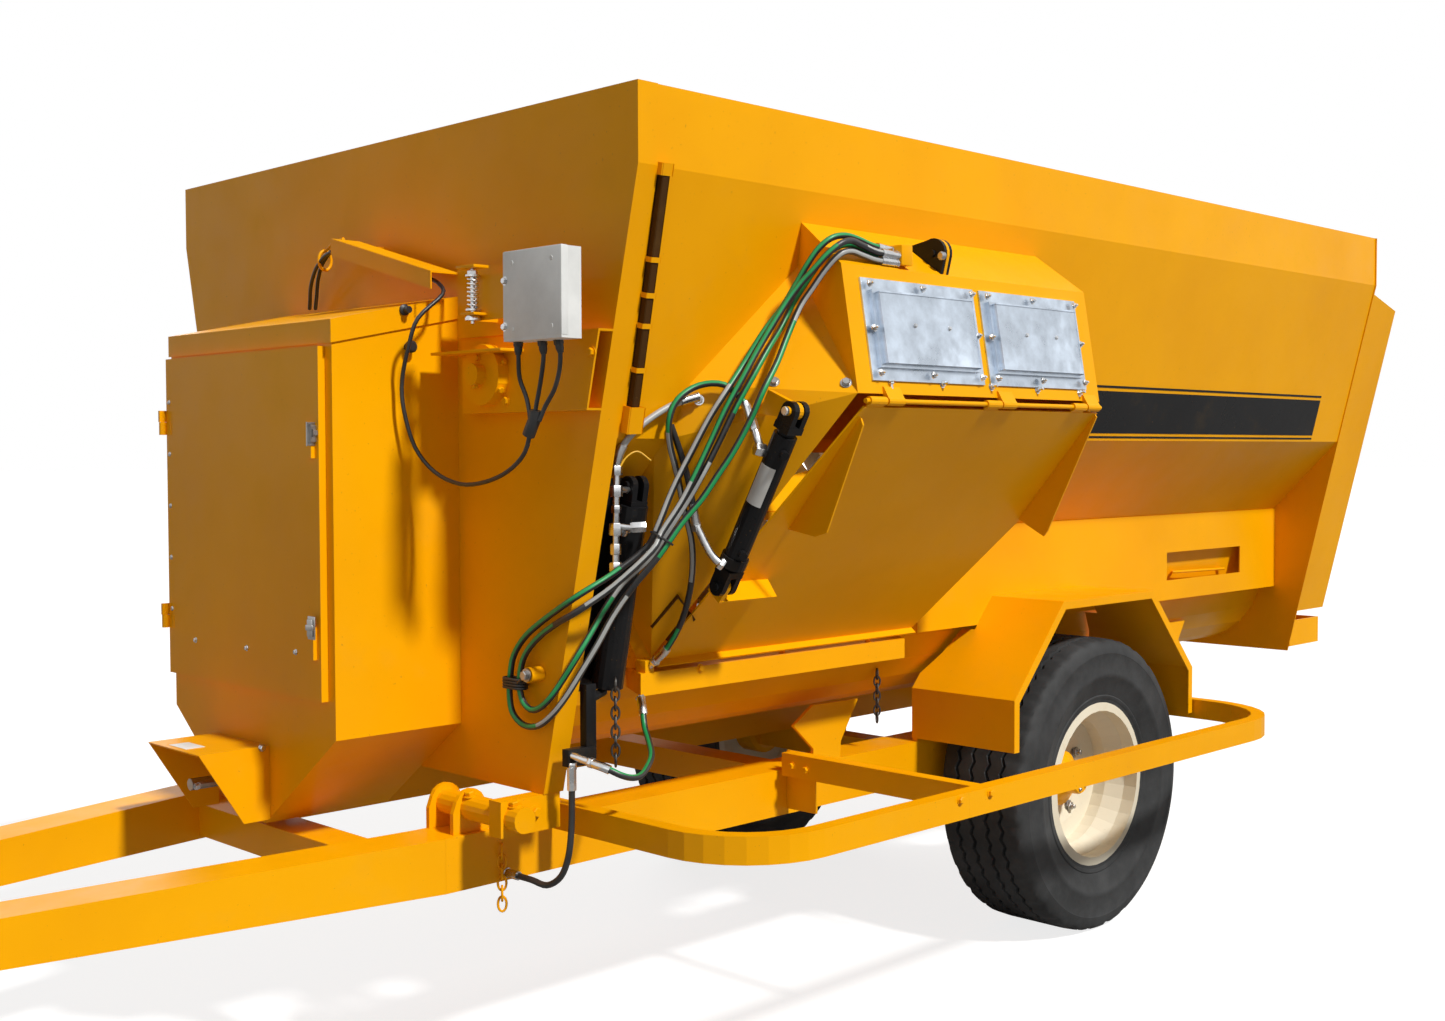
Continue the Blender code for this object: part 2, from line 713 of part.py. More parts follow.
def pto():
    face = CABINET_DEPTH + GAP
    side = [(face, SHIELD_TOP), (SHIELD_REACH, SHIELD_TOP), (SHIELD_FOOT_REACH, SHIELD_FOOT), (face, SHIELD_FOOT)]
    outer = plate(side, "y", PTO_Y - SHIELD_HALF, PTO_Y + SHIELD_HALF)
    inner = block((face - 0.1, PTO_Y - SHIELD_HALF + SHEET, SHIELD_FOOT - 0.1),
                  (SHIELD_REACH + 0.1, PTO_Y + SHIELD_HALF - SHEET, SHIELD_TOP - SHEET))
    finish("pto_shield", cut(outer, inner), "paint")
    base = CABINET_DEPTH + RUN
    shaft = rod((base, PTO_Y, PTO_Z), (base + 0.05, PTO_Y, PTO_Z), PTO_COLLAR_R, 20)
    shaft = join(shaft, rod((base + 0.04, PTO_Y, PTO_Z), (PTO_TIP, PTO_Y, PTO_Z), PTO_SHAFT_R, 12))
    finish("pto_shaft", shaft, "steel", pivot=(base, PTO_Y, PTO_Z), smooth=30)


# Frame

def tongue_y(x):
    """Outer face of the tongue beam at x ahead of the kink."""
    return RAIL_OUTER - (x - KINK_X) * TONGUE_SLOPE


def rails():
    top = RAIL_Z + RAIL_H
    inner = RAIL_OUTER - RAIL_W
    outline = [(inner, RAIL_Z), (RAIL_OUTER, RAIL_Z), (RAIL_OUTER, top), (inner, top)]
    hole = [(inner + RAIL_WALL, RAIL_Z + RAIL_WALL), (RAIL_OUTER - RAIL_WALL, RAIL_Z + RAIL_WALL),
            (RAIL_OUTER - RAIL_WALL, top - RAIL_WALL), (inner + RAIL_WALL, top - RAIL_WALL)]
    body = plate(outline, "x", RAIL_END, KINK_X - GAP / 2, holes=(hole,))
    saddle = [(-1.216, 0.880), (-1.316, 0.940), (-1.550, 0.935), (-1.459, 0.798),
              (-1.455, top - 0.02), (-1.316, top - 0.02), (-1.316, 0.790)]
    leg_top = trough_flank(RAIL_OUTER - 0.013) - GAP * 2
    leg = [(-3.30, top - 0.02), (RAIL_END, top - 0.02), (RAIL_END - 0.22, leg_top), (-3.42, leg_top)]
    for shape in (saddle, leg):
        body = join(body, plate(shape, "y", RAIL_OUTER - 0.013, RAIL_OUTER - 0.001))
    other = mirrored(body)
    finish("rail_left", body, "paint")
    finish("rail_right", other, "paint")


def trough_flank(y):
    """Height at which the trough's outside reaches y, below its widest line."""
    return TROUGH_Z - math.sqrt(TROUGH_R ** 2 - (y - TROUGH_Y) ** 2)


def tongues():
    start = KINK_X + GAP / 2
    outline = [(start, tongue_y(start)), (TONGUE_END, tongue_y(TONGUE_END)),
               (TONGUE_END, tongue_y(TONGUE_END) - RAIL_W), (start, tongue_y(start) - RAIL_W)]
    body = plate(outline, "z", RAIL_Z, RAIL_Z + RAIL_H)
    taper = [(start, RAIL_Z + RAIL_H), (TONGUE_END + 0.1, RAIL_Z + NOSE_H - (RAIL_H - NOSE_H) * 0.05),
             (TONGUE_END + 0.1, RAIL_Z + RAIL_H + 0.1), (start, RAIL_Z + RAIL_H + 0.1)]
    body = cut(body, plate(taper, "y", 0.0, RAIL_OUTER + 0.1))
    other = mirrored(body)
    finish("tongue_left", body, "paint")
    finish("tongue_right", other, "paint")


def crossbeams():
    inner = RAIL_OUTER - RAIL_W - GAP
    low = RAIL_Z + CROSS_LIFT
    front = KINK_X + CROSS_FRONT
    back_y = tongue_y(front) - RAIL_W - GAP
    front_y = tongue_y(front + CROSS_W) - RAIL_W - GAP
    outline = [(front, back_y), (front + CROSS_W, front_y), (front + CROSS_W, -front_y), (front, -back_y)]
    finish("crossbeam_front", plate(outline, "z", low, low + CROSS_H), "paint")
    for name, x in (("crossbeam_mid", CROSS_MID), ("crossbeam_rear", RAIL_END + CROSS_REAR)):
        finish(name, block((x - CROSS_W, -inner, low), (x, inner, low + CROSS_H)), "paint")


def hitch():
    """Nose plates between the beams, and a clevis with a drawpin hole."""
    face = TONGUE_END + GAP
    half = tongue_y(TONGUE_END)
    low, high = RAIL_Z, RAIL_Z + NOSE_H
    body = block((face, -half, low), (face + 0.03, half, high))
    middle = (low + high) / 2
    for z in (middle - 0.045, middle + 0.020):
        tongue = [(face + 0.02, -0.11), (HITCH_TIP - 0.06, -0.06), (HITCH_TIP, -0.035), (HITCH_TIP, 0.035),
                  (HITCH_TIP - 0.06, 0.06), (face + 0.02, 0.11)]
        hole = arc((HITCH_TIP - 0.06, 0.0), 0.019, 0, -330, 11)
        body = join(body, plate(tongue, "z", z, z + 0.025, holes=(hole,)))
    gusset = block((face + 0.01, -0.10, middle - 0.03), (face + 0.14, 0.10, middle + 0.03))
    finish("hitch", join(body, gusset), "paint")


def jack():
    y_face = tongue_y(JACK_X - JACK_TUBE / 2)
    centre = y_face + 0.03 + JACK_TUBE / 2
    half = JACK_TUBE / 2
    hole_half = half - JACK_WALL
    low, high = JACK_FOOT_Z, JACK_HEAD_Z
    outline = [(JACK_X - half, centre - half), (JACK_X + half, centre - half),
               (JACK_X + half, centre + half), (JACK_X - half, centre + half)]
    hole = [(JACK_X - hole_half, centre - hole_half), (JACK_X + hole_half, centre - hole_half),
            (JACK_X + hole_half, centre + hole_half), (JACK_X - hole_half, centre + hole_half)]
    tube = plate(outline, "z", low, high - 0.01, holes=(hole,))
    cap = block((JACK_X - half - 0.002, centre - half - 0.002, high - 0.015),
                (JACK_X + half + 0.002, centre + half + 0.002, high))
    tube = join(tube, cap)
    mount_y = tongue_y(JACK_X + 0.07) + GAP
    base = [(JACK_X - 0.07, tongue_y(JACK_X - 0.07) + GAP), (JACK_X + 0.07, tongue_y(JACK_X + 0.07) + GAP),
            (JACK_X + 0.07, mount_y + 0.03), (JACK_X + 0.03, centre - half + 0.003),
            (JACK_X - 0.03, centre - half + 0.003), (JACK_X - 0.07, mount_y + 0.035)]
    tube = join(tube, plate(base, "z", RAIL_Z + 0.005, RAIL_Z + 0.105))
    crank = rod((JACK_X, centre + half - 0.002, high - 0.06), (JACK_X, centre + half + 0.05, high - 0.06), 0.012, 10)
    crank = join(crank, rod((JACK_X - 0.01, centre + half + 0.045, high - 0.06),
                            (JACK_X + 0.16, centre + half + 0.045, high - 0.06), 0.010, 10))
    tube = join(tube, crank)
    finish("jack_tube", tube, "paint")
    leg_half = hole_half - RUN
    leg = block((JACK_X - leg_half, centre - leg_half, 0.006),
                (JACK_X + leg_half, centre + leg_half, JACK_LEG_TOP))
    foot = block((JACK_X - JACK_FOOT / 2, centre - JACK_FOOT / 2, 0.0),
                 (JACK_X + JACK_FOOT / 2, centre + JACK_FOOT / 2, 0.010))
    finish("jack_leg", join(foot, leg), "zinc", pivot=(JACK_X, centre, 0.0))


def weigh_bars():
    """Load cell bars at the front corners: two ears on the frame, a clamp under the tank."""
    x, z, radius = 0.10, 0.812, 0.036
    top = RAIL_Z + RAIL_H + GAP
    body = rod((x, 0.47, z), (x, 0.86, z), radius, 16)
    for y0, y1 in ((0.485, 0.500), (0.600, 0.615)):
        ear = [(x - 0.06, top), (x + 0.06, top), (x + 0.06, 0.80)] \
            + arc((x, z), 0.052, 0, 180, 8)[1:-1] + [(x - 0.06, 0.80)]
        body = join(body, plate(ear, "y", y0, y1))
    clamp = block((-FRONT_FLANGE + 0.01, 0.760, 0.762), (x + 0.045, 0.812, FLOOR_Z - GAP))
    body = join(body, clamp)
    other = mirrored(body)
    finish("weigh_bar_left", body, "paint", smooth=35)
    finish("weigh_bar_right", other, "paint", smooth=35)


# Axle and wheels

def axle():
    half = AXLE_BEAM / 2
    middle = RAIL_Z - GAP - half
    reach = TYRE_OUTER - TYRE_W + 0.03
    body = block((AXLE_X - half, -reach, middle - half), (AXLE_X + half, reach, middle + half))
    finish("axle_beam", body, "paint")


def about_axle(item, sign):
    """Lay a piece that was turned about z on its side, outward end to the machine's side."""
    turn = Matrix.Rotation(math.radians(-90 * sign), 4, "X")
    return move(item, Matrix.Translation((AXLE_X, 0.0, TYRE_R)) @ turn)


def tyre_profile():
    """Closed (radius, y) outline: tread, shoulders, sidewalls, beads and the inside."""
    out = TYRE_OUTER
    mid = out - TYRE_W / 2
    half = TYRE_W / 2
    tread = TYRE_R
    outer = [
        (tread, half - 0.045), (tread - 0.012, half - 0.020), (tread - 0.050, half - 0.006),
        (tread - 0.120, half), (RIM_R + 0.032, half - 0.033),
        (RIM_R + GAP, half - 0.045), (RIM_R + GAP, half - 0.075),
        (tread - 0.190, half - 0.016 - TYRE_WALL), (tread - 0.055, half - TYRE_WALL - 0.012),
        (tread - 0.032, half - 0.06),
    ]
    inner = [(r, -h) for r, h in reversed(outer)]
    return [(r, mid + h) for r, h in outer + inner]


def wheels():
    for side, sign in (("left", 1), ("right", -1)):
        pivot = (AXLE_X, sign * (TYRE_OUTER - TYRE_W / 2), TYRE_R)
        tyre = about_axle(turned(tyre_profile(), WHEEL_STEPS, closed=True), sign)
        finish("tyre_" + side, tyre, "tyre", pivot=pivot, smooth=35)
        face = TYRE_OUTER - 0.035
        back = TYRE_OUTER - TYRE_W + 0.035
        seat = RIM_R
        rim_profile = [
            (seat + 0.022, face), (seat, face - 0.008), (seat, face - 0.06), (seat - 0.03, face - 0.11),
            (seat - 0.03, back + 0.11), (seat, back + 0.06), (seat, back + 0.008), (seat + 0.022, back),
            (seat - 0.010, back), (seat - 0.042, back + 0.11), (0.17, back + 0.12), (HUB_R + RUN, back + 0.10),
            (HUB_R + RUN, back + 0.112), (0.18, back + 0.134), (seat - 0.042, back + 0.14),
            (seat - 0.042, face - 0.115), (seat - 0.010, face - 0.050), (seat - 0.010, face + 0.004),
        ]
        rim = about_axle(turned(rim_profile, WHEEL_STEPS, closed=True), sign)
        finish("rim_" + side, rim, "cream", pivot=pivot, smooth=35)
        start = TYRE_OUTER - TYRE_W + 0.03 + RUN
        hub_profile = [
            (0.0, face - 0.07), (0.045, face - 0.07), (0.050, face - 0.078), (0.052, face - 0.12),
            (HUB_R - 0.02, back + 0.155), (HUB_R, back + 0.145), (HUB_R, start + 0.01),
            (HUB_R - 0.02, start), (0.0, start),
        ]
        hub = about_axle(turned(hub_profile, 24), sign)
        finish("hub_" + side, hub, "paint", pivot=pivot, smooth=35)


def fenders():
    path = [
        (FENDER_X - FENDER_HALF, FENDER_Z), (FENDER_X - FENDER_HALF, FENDER_KNEE),
        (FENDER_X - FENDER_TOP_HALF, FENDER_TOP), (FENDER_X + FENDER_TOP_HALF, FENDER_TOP),
        (FENDER_X + FENDER_HALF, FENDER_KNEE), (FENDER_X + FENDER_HALF, FENDER_Z),
    ]
    body = plate(band(path, 0.0, SHEET), "y", FENDER_IN, FENDER_OUT)
    lip = plate(band(path, 0.001, FENDER_LIP), "y", FENDER_OUT - SHEET, FENDER_OUT + 0.0005)
    body = join(body, lip)
    for sign in (1, -1):
        x = FENDER_X + sign * (FENDER_HALF - 0.002)
        foot = block((min(x, x - sign * 0.04), FENDER_IN + 0.002, RAIL_Z + RAIL_H + GAP),
                     (max(x, x - sign * 0.04), RAIL_OUTER - 0.002, FENDER_Z + 0.02))
        body = join(body, foot)
    tank = [(0.30, 0.86), (0.52, 0.905), (0.60, 0.97), (0.66, 1.06), (0.69, 1.145),
            (SKIRT_Y + 2 * GAP, 1.145), (SKIRT_Y + 2 * GAP, 1.60), (0.30, 1.60)]
    body = cut(body, plate(tank, "x", FENDER_X - 1.0, FENDER_X + 1.0))
    other = mirrored(body)
    finish("fender_left", body, "paint")
    finish("fender_right", other, "paint")


def guards():
    start = RAIL_OUTER + GAP
    front = [(GUARD_FRONT, start)]
    front += arc((GUARD_FRONT - GUARD_R_FRONT, GUARD_Y - GUARD_R_FRONT), GUARD_R_FRONT, 0, 90, 8)
    front += [(GUARD_SEAM + GAP / 2, GUARD_Y)]
    rear = [(GUARD_SEAM - GAP / 2, GUARD_Y)]
    rear += arc((GUARD_REAR + GUARD_R_REAR, GUARD_Y - GUARD_R_REAR), GUARD_R_REAR, 90, 180, 8)
    rear += [(GUARD_REAR, start)]
    for name, path in (("guard_front", front), ("guard_rear", rear)):
        outline = band(path, -GUARD_W / 2, GUARD_W / 2)
        finish(name, plate(outline, "z", GUARD_Z, GUARD_Z + GUARD_H), "paint")
    lug = block((GUARD_SEAM - 0.13, RAIL_OUTER + GAP, RAIL_Z + 0.02), (GUARD_SEAM - 0.12, RAIL_OUTER + 0.13, GUARD_Z + GUARD_H))
    arm = block((GUARD_SEAM - 0.125, RAIL_OUTER + 0.02, GUARD_Z), (GUARD_SEAM - 0.075, GUARD_Y - GUARD_W / 2 - GAP, GUARD_Z + GUARD_H))
    finish("guard_brace", join(arm, lug), "paint")


# Discharge

def door_point(down, out):
    """A (y, z) point by distance down the discharge door and out from its inner face."""
    return (HINGE_Y + down * DOOR_DOWN_Y - out * DOOR_DOWN_Z,
            HINGE_Z + down * DOOR_DOWN_Z + out * DOOR_DOWN_Y)


def tank_face(z):
    """Outer y of the tank's side panel at a height."""
    crease = half_width(CREASE_Z) - SHEET - GAP
    if z >= CREASE_Z:
        return half_width(z) - SHEET - GAP
    return SEAM_Y + (crease - SEAM_Y) * (z - SEAM_Z) / (CREASE_Z - SEAM_Z)


def tank_envelope():
    """What the pieces mounted on the left side are trimmed to: the tank, a gap larger."""
    section = [(tank_face(z) + GAP, z) for z in (TANK_TOP + 0.1, RIM_FOOT, CREASE_Z, SEAM_Z)]
    section += [(SEAM_Y + GAP, TROUGH_Z), (0.60, 0.90), (0.0, 0.90), (0.0, TANK_TOP + 0.1)]
    return plate(section, "x", -TANK_LENGTH - 0.1, 0.1)


def folded(corners, faces, thickness):
    """A folded sheet from shared corners, its thickness towards the inside."""
    bm = bmesh.new()
    verts = {key: bm.verts.new(point) for key, point in corners.items()}
    for face in faces:
        bm.faces.new([verts[key] for key in face])
    bmesh.ops.triangulate(bm, faces=bm.faces)
    bmesh.ops.recalc_face_normals(bm, faces=bm.faces)
    item = from_bmesh(bm)
    thick = item.modifiers.new("Thickness", "SOLIDIFY")
    thick.thickness = thickness
    thick.offset = -1.0
    thick.use_even_offset = True
    return triangles(settle(item))


def triangles(item):
    """Flat faces only, so that what is cut from a twisted one stays closed."""
    bm = bmesh.new()
    bm.from_mesh(item.data)
    bmesh.ops.triangulate(bm, faces=bm.faces)
    bm.to_mesh(item.data)
    bm.free()
    return item


def housing_corners():
    """Where the housing's folds end; those on the tank reach a little way into it, to be trimmed."""
    front, rear = HOOD_FRONT, HOOD_REAR
    roof_z = HOOD_TOP_Z + HOOD_ROOF_RISE
    sill_z = SILL_TOP - 0.015
    on_tank = {
        # name: x, z, bite into the tank
        "roof_front": (front - 0.052, roof_z, 0.034),
        "roof_rear": (rear, roof_z, 0.034),
        "peak": (front - 0.066, HOOD_TOP_Z + 0.040, 0.027),
        "bulge": (front + 0.315, HOOD_FOOT_Z + 0.027, 0.029),
        "crease": (front + 0.360, CREASE_Z - 0.010, 0.023),
        "seam": (front + 0.330, SEAM_Z - 0.028, -0.005),
        "rear_crease": (rear + 0.010, CREASE_Z - 0.010, 0.023),
        "rear_seam": (rear + 0.110, SEAM_Z - 0.028, -0.005),
    }
    corners = {name: (x, tank_face(z) - bite, z) for name, (x, z, bite) in on_tank.items()}
    foot = door_point(DOOR_LENGTH - 0.004, -SWING)
    corners.update({
        "top_front": (front, HOOD_TOP_Y, HOOD_TOP_Z),
        "top_rear": (rear, HOOD_TOP_Y, HOOD_TOP_Z),
        "low_front": (front, HOOD_FOOT_Y, HOOD_FOOT_Z),
        "low_rear": (rear, HOOD_FOOT_Y, HOOD_FOOT_Z),
        "sill_in": (front + 0.205, SILL_Y - 0.160, sill_z),
        "sill_low": (front + 0.205, SILL_Y - 0.060, sill_z),
        "sill_out": (front + 0.200, *foot),
        "rear_sill_in": (rear + 0.170, SILL_Y - 0.160, sill_z),
        "rear_sill_low": (rear + 0.205, SILL_Y - 0.060, sill_z),
        "rear_sill_out": (rear + 0.200, *foot),
    })
    return corners


HOUSING_FACES = (
    ("roof_front", "roof_rear", "top_rear", "top_front"),
    ("top_front", "top_rear", "low_rear", "low_front"),
    ("roof_front", "top_front", "low_front", "peak"),
    ("peak", "low_front", "bulge"),
    ("bulge", "low_front", "crease"),
    ("crease", "low_front", "sill_out"),
    ("crease", "sill_out", "seam"),
    ("seam", "sill_out", "sill_low"),
    ("seam", "sill_low", "sill_in"),
    ("roof_rear", "rear_crease", "low_rear", "top_rear"),
    ("rear_crease", "rear_sill_out", "low_rear"),
    ("rear_crease", "rear_seam", "rear_sill_out"),
    ("rear_seam", "rear_sill_low", "rear_sill_out"),
    ("rear_seam", "rear_sill_in", "rear_sill_low"),
)


def discharge_housing():
    """Roof, face and the two folded cheeks, open below and to the tank."""
    below = block((-TANK_LENGTH, 0.0, 0.0), (TANK_LENGTH, TANK_LENGTH, SILL_TOP + GAP))
    body = cut(folded(housing_corners(), HOUSING_FACES, SHEET), tank_envelope(), below)
    for x in KNUCKLES[1::2]:
        knuckle = rod((x - KNUCKLE / 2, HINGE_Y, HINGE_Z), (x + KNUCKLE / 2, HINGE_Y, HINGE_Z), HINGE_R, 12)
        leaf = [(HOOD_FOOT_Y - 0.004, HOOD_FOOT_Z - 0.002), (HOOD_FOOT_Y - 0.003, HOOD_FOOT_Z + 0.02),
                (HOOD_FOOT_Y + 0.002, HOOD_FOOT_Z + 0.02), (HINGE_Y + HINGE_R - 0.001, HINGE_Z + 0.002),
                (HINGE_Y + HINGE_R - 0.007, HINGE_Z - 0.002)]
        body = join(body, knuckle, plate(leaf, "x", x - KNUCKLE / 2, x + KNUCKLE / 2))
    body = join(body, rod((KNUCKLES[0] + KNUCKLE * 0.7, HINGE_Y, HINGE_Z),
                          (KNUCKLES[-1] - KNUCKLE * 0.7, HINGE_Y, HINGE_Z), HINGE_PIN_R, 12))
    top_y, top_z = cylinder_top()
    low, high = top_z - 0.005, top_z + 0.060
    ear = [(cheek_y(CYL_X, low) - SWING, low)] \
        + arc((top_y, top_z), FORK_R - 0.003, -70, 100, 8) \
        + [(cheek_y(CYL_X, high) - SWING, high)]
    body = join(body, plate(ear, "x", CYL_X - EAR_T / 2, CYL_X + EAR_T / 2))
    reach = EAR_T / 2 + FORK_GAP + FORK_T + PIN_HEAD
    body = join(body, rod((CYL_X - reach, top_y, top_z), (CYL_X + reach, top_y, top_z), PIN_R, 12))
    lug = plate(roof_lug(-SHEET / 2), "x", STAY_X - STAY_LUG / 2, STAY_X + STAY_LUG / 2,
                holes=(arc(stay_pin(), STAY_PIN_R + RUN, 0, -330, 11),))
    finish("discharge_housing", join(body, lug), "paint")


def cheek_y(x, z):
    """Where the front cheek's main fold lies."""
    corners = housing_corners()
    low = Vector(corners["low_front"])
    normal = (Vector(corners["crease"]) - low).cross(Vector(corners["sill_out"]) - low)
    return low.y - (normal.x * (x - low.x) + normal.z * (z - low.z)) / normal.y


def roof_z(y):
    """Height of the hood's roof."""
    corners = housing_corners()
    _, inner_y, inner_z = corners["roof_front"]
    return HOOD_TOP_Z + (HOOD_TOP_Y - y) * (inner_z - HOOD_TOP_Z) / (HOOD_TOP_Y - inner_y)


def stay_pin():
    return HOOD_TOP_Y - STAY_IN, HOOD_TOP_Z + STAY_RISE


def roof_lug(lift):
    """Outline of a plate that stands on the roof by its outer edge, round at the top."""
    inner, outer = HOOD_TOP_Y - STAY_FOOT, HOOD_TOP_Y - 0.004
    return [(outer, roof_z(outer) + lift)] + arc(stay_pin(), STAY_R, -10, 115, 7) \
        + [(inner, roof_z(inner) + lift)]


def door_frame():
    """Places a shape drawn as (x, distance down the door, distance out from it)."""
    dy, dz = DOOR_DOWN_Y, DOOR_DOWN_Z
    return Matrix(((1, 0, 0, 0), (0, dy, -dz, HINGE_Y), (0, dz, dy, HINGE_Z), (0, 0, 0, 1)))


def discharge_door():
    front, rear = HOOD_FRONT, HOOD_REAR
    front_foot, rear_foot = front + 0.198, rear + 0.204
    outline = [(front - 0.020, 0.018), (rear + 0.020, 0.018), (rear + 0.020, DOOR_LENGTH * 0.49),
               (rear_foot, DOOR_LENGTH), (front_foot, DOOR_LENGTH)]
    body = plate(outline, "z", 0.0, DOOR_PLATE)
    hem = [(rear_foot, DOOR_LENGTH), (front_foot, DOOR_LENGTH), (front_foot - 0.003, DOOR_LENGTH - DOOR_PLATE),
           (rear_foot + 0.002, DOOR_LENGTH - DOOR_PLATE)]
    body = join(body, plate(hem, "z", 0.001, 0.030))
    front_fin = [(0.050, 0.002), (0.064, 0.028), (0.378, 0.120), (0.415, 0.096), (0.470, 0.002)]
    rear_fin = [(0.022, 0.002), (0.026, 0.016), (0.430, 0.117), (0.455, 0.117), (0.478, 0.002)]
    for x, fin in ((front - 0.035, front_fin), (rear + 0.025, rear_fin)):
        body = join(body, plate(fin, "x", x, x + DOOR_PLATE))
    pin = DOOR_LENGTH - CYL_LOW_RISE
    shelf = pin + FORK_R + SHELF_DROP
    half = EAR_T / 2
    outer = CYL_LOW_OUT + 0.024
    gusset = [(CYL_X + half, outer), (CYL_X + half, 0.022), (CYL_X - 0.060, 0.001), (CYL_X - 0.250, 0.001),
              (CYL_X - 0.228, outer)]
    body = join(body, plate(gusset, "y", shelf, shelf + DOOR_PLATE))
    lug = [(shelf + 0.003, 0.026)] + arc((pin, CYL_LOW_OUT), FORK_R - 0.004, 270, 90, 10) \
        + [(shelf + 0.003, outer - 0.001)]
    body = join(body, plate(lug, "x", CYL_X - half, CYL_X + half))
    for x in KNUCKLES[0::2]:
        knuckle = rod((x - KNUCKLE / 2, 0, 0), (x + KNUCKLE / 2, 0, 0), HINGE_R, 12)
        leaf = block((x - KNUCKLE / 2, 0.002, 0.001), (x + KNUCKLE / 2, 0.03, DOOR_PLATE - 0.001))
        body = join(body, knuckle, leaf)
        body = cut(body, rod((x - KNUCKLE, 0, 0), (x + KNUCKLE, 0, 0), HINGE_PIN_R + RUN, 12))
    move(body, door_frame())
    finish("discharge_door", body, "paint", pivot=((front + rear) / 2, HINGE_Y, HINGE_Z))


def cylinder_top():
    return HINGE_Y - CYL_TOP_IN, HINGE_Z - CYL_TOP_DROP


def cylinder_axis():
    top = Vector((CYL_X, *cylinder_top()))
    low = Vector((CYL_X, *door_point(DOOR_LENGTH - CYL_LOW_RISE, CYL_LOW_OUT)))
    return top, low, (low - top).normalized()


def fork(pin, along, head, bored):
    """Two cheeks from a pin along a direction to their base; headed outside, or bored for a pin."""
    across = Vector((1.0, 0.0, 0.0)).cross(along)
    inner = EAR_T / 2 + FORK_GAP
    outer = inner + FORK_T
    turn = Matrix((Vector((1, 0, 0)), along, across)).transposed().to_4x4()
    place = Matrix.Translation(pin) @ turn
    wide, high = outer + 0.001, FORK_R + 0.0015
    body = block((-wide, FORK_THROAT, -high), (wide, FORK_BASE, high))
    for sign in (1, -1):
        near, far = sorted((sign * inner, sign * outer))
        body = join(body, plate(fork_cheek(), "x", near, far))
        if head:
            body = join(body, rod((sign * (outer - 0.002), 0, 0), (sign * (outer + PIN_HEAD), 0, 0), PIN_R, 14))
    if bored:
        body = cut(body, rod((-2 * outer, 0, 0), (2 * outer, 0, 0), PIN_R + RUN, 12))
    return move(body, place)


def fork_cheek():
    """Outline in (along, across): round about the pin, straight to the base."""
    nose = arc((0.0, 0.0), FORK_R, 270, 90, 8)
    return nose + [(FORK_THROAT + 0.004, FORK_R), (FORK_THROAT + 0.004, -FORK_R)]


def cylinders():
    top, low, along = cylinder_axis()
    length = (low - top).length
    end = length - FORK_BASE - SWING
    barrel = rod(top + along * (FORK_BASE + 0.012), top + along * end, CYL_R, 20)
    neck = rod(top + along * (FORK_BASE - 0.004), top + along * (FORK_BASE + 0.02), CYL_R * 0.75, 14)
    gland = rod(top + along * (end - 0.035), top + along * (end - 0.003), CYL_R + 0.006, 20)
    barrel = join(fork(top, along, False, True), neck, barrel, gland)
    barrel = cut(barrel, rod(top + along * (ROD_START - SWING), top + along * (length + SWING), CYL_ROD_R + RUN, 16))
    port = Vector((0.5, -along.z, along.y)).normalized()
    for reach in (0.115, end - 0.060):
        at = top + along * reach
        barrel = join(barrel, rod(at + port * CYL_R * 0.8, at + port * (CYL_R + 0.016), 0.012, 10))
    finish("door_cylinder_barrel", barrel, "black", pivot=top, smooth=35)
    shaft = rod(top + along * ROD_START, low - along * (FORK_BASE - 0.004), CYL_ROD_R, 16)
    finish("door_cylinder_rod", join(fork(low, -along, True, False), shaft), "black", pivot=low, smooth=35)


def gate_cylinder():
    """Cylinder of the inner gate on its mounting plate, at the front of the outlet."""
    high = Vector((GATE_X, tank_face(GATE_TOP_Z) + GATE_TOP_OUT, GATE_TOP_Z))
    low = Vector((GATE_X, GATE_LOW_Y, GATE_LOW_Z))
    along = (low - high).normalized()
    body = rod(high + along * (FORK_BASE - SWING), low - along * 0.03, GATE_R, 18)
    body = join(body, fork(high, along, True, False))
    outward = Vector((0.0, -along.z, along.y))
    frame = Matrix((Vector((1, 0, 0)), along, outward)).transposed().to_4x4()
    place = Matrix.Translation(high - Vector((GATE_X, 0, 0))) @ frame
    near = -(GATE_R + 0.012)
    x0, x1 = GATE_PLATE
    back = block((x0, -0.030, near - WALL), (x1, (low - high).length, near))
    for at in (FORK_BASE + 0.05, (low - high).length - 0.08):
        back = join(back, block((GATE_X - 0.02, at, near - 0.002), (GATE_X + 0.02, at + 0.05, 0.012 - GATE_R)))
    body = join(body, move(back, place))
    body = cut(body, tank_envelope())
    finish("gate_cylinder", body, "black", smooth=35)


def sill():
    """Channel along the foot of the outlet."""
    low = SILL_TOP - 0.065
    back = TROUGH_Y + math.sqrt(TROUGH_R ** 2 - (TROUGH_Z - SILL_TOP) ** 2) + GAP
    front = SILL_FRONT - 0.06
    rear = SILL_REAR - 0.06
    outline = [(front, back), (rear, back), (SILL_REAR + 0.08, SILL_Y), (SILL_FRONT + 0.04, SILL_Y)]
    body = plate(outline, "z", low, SILL_TOP)
    hollow = [(front - 0.01, back - 0.1), (rear + 0.01, back - 0.1), (rear + 0.01, back),
              (SILL_REAR + 0.07, SILL_Y - SHEET), (SILL_FRONT + 0.03, SILL_Y - SHEET), (front - 0.01, back)]
    body = cut(body, plate(hollow, "z", low - 0.01, SILL_TOP - SHEET))
    finish("discharge_sill", body, "paint")


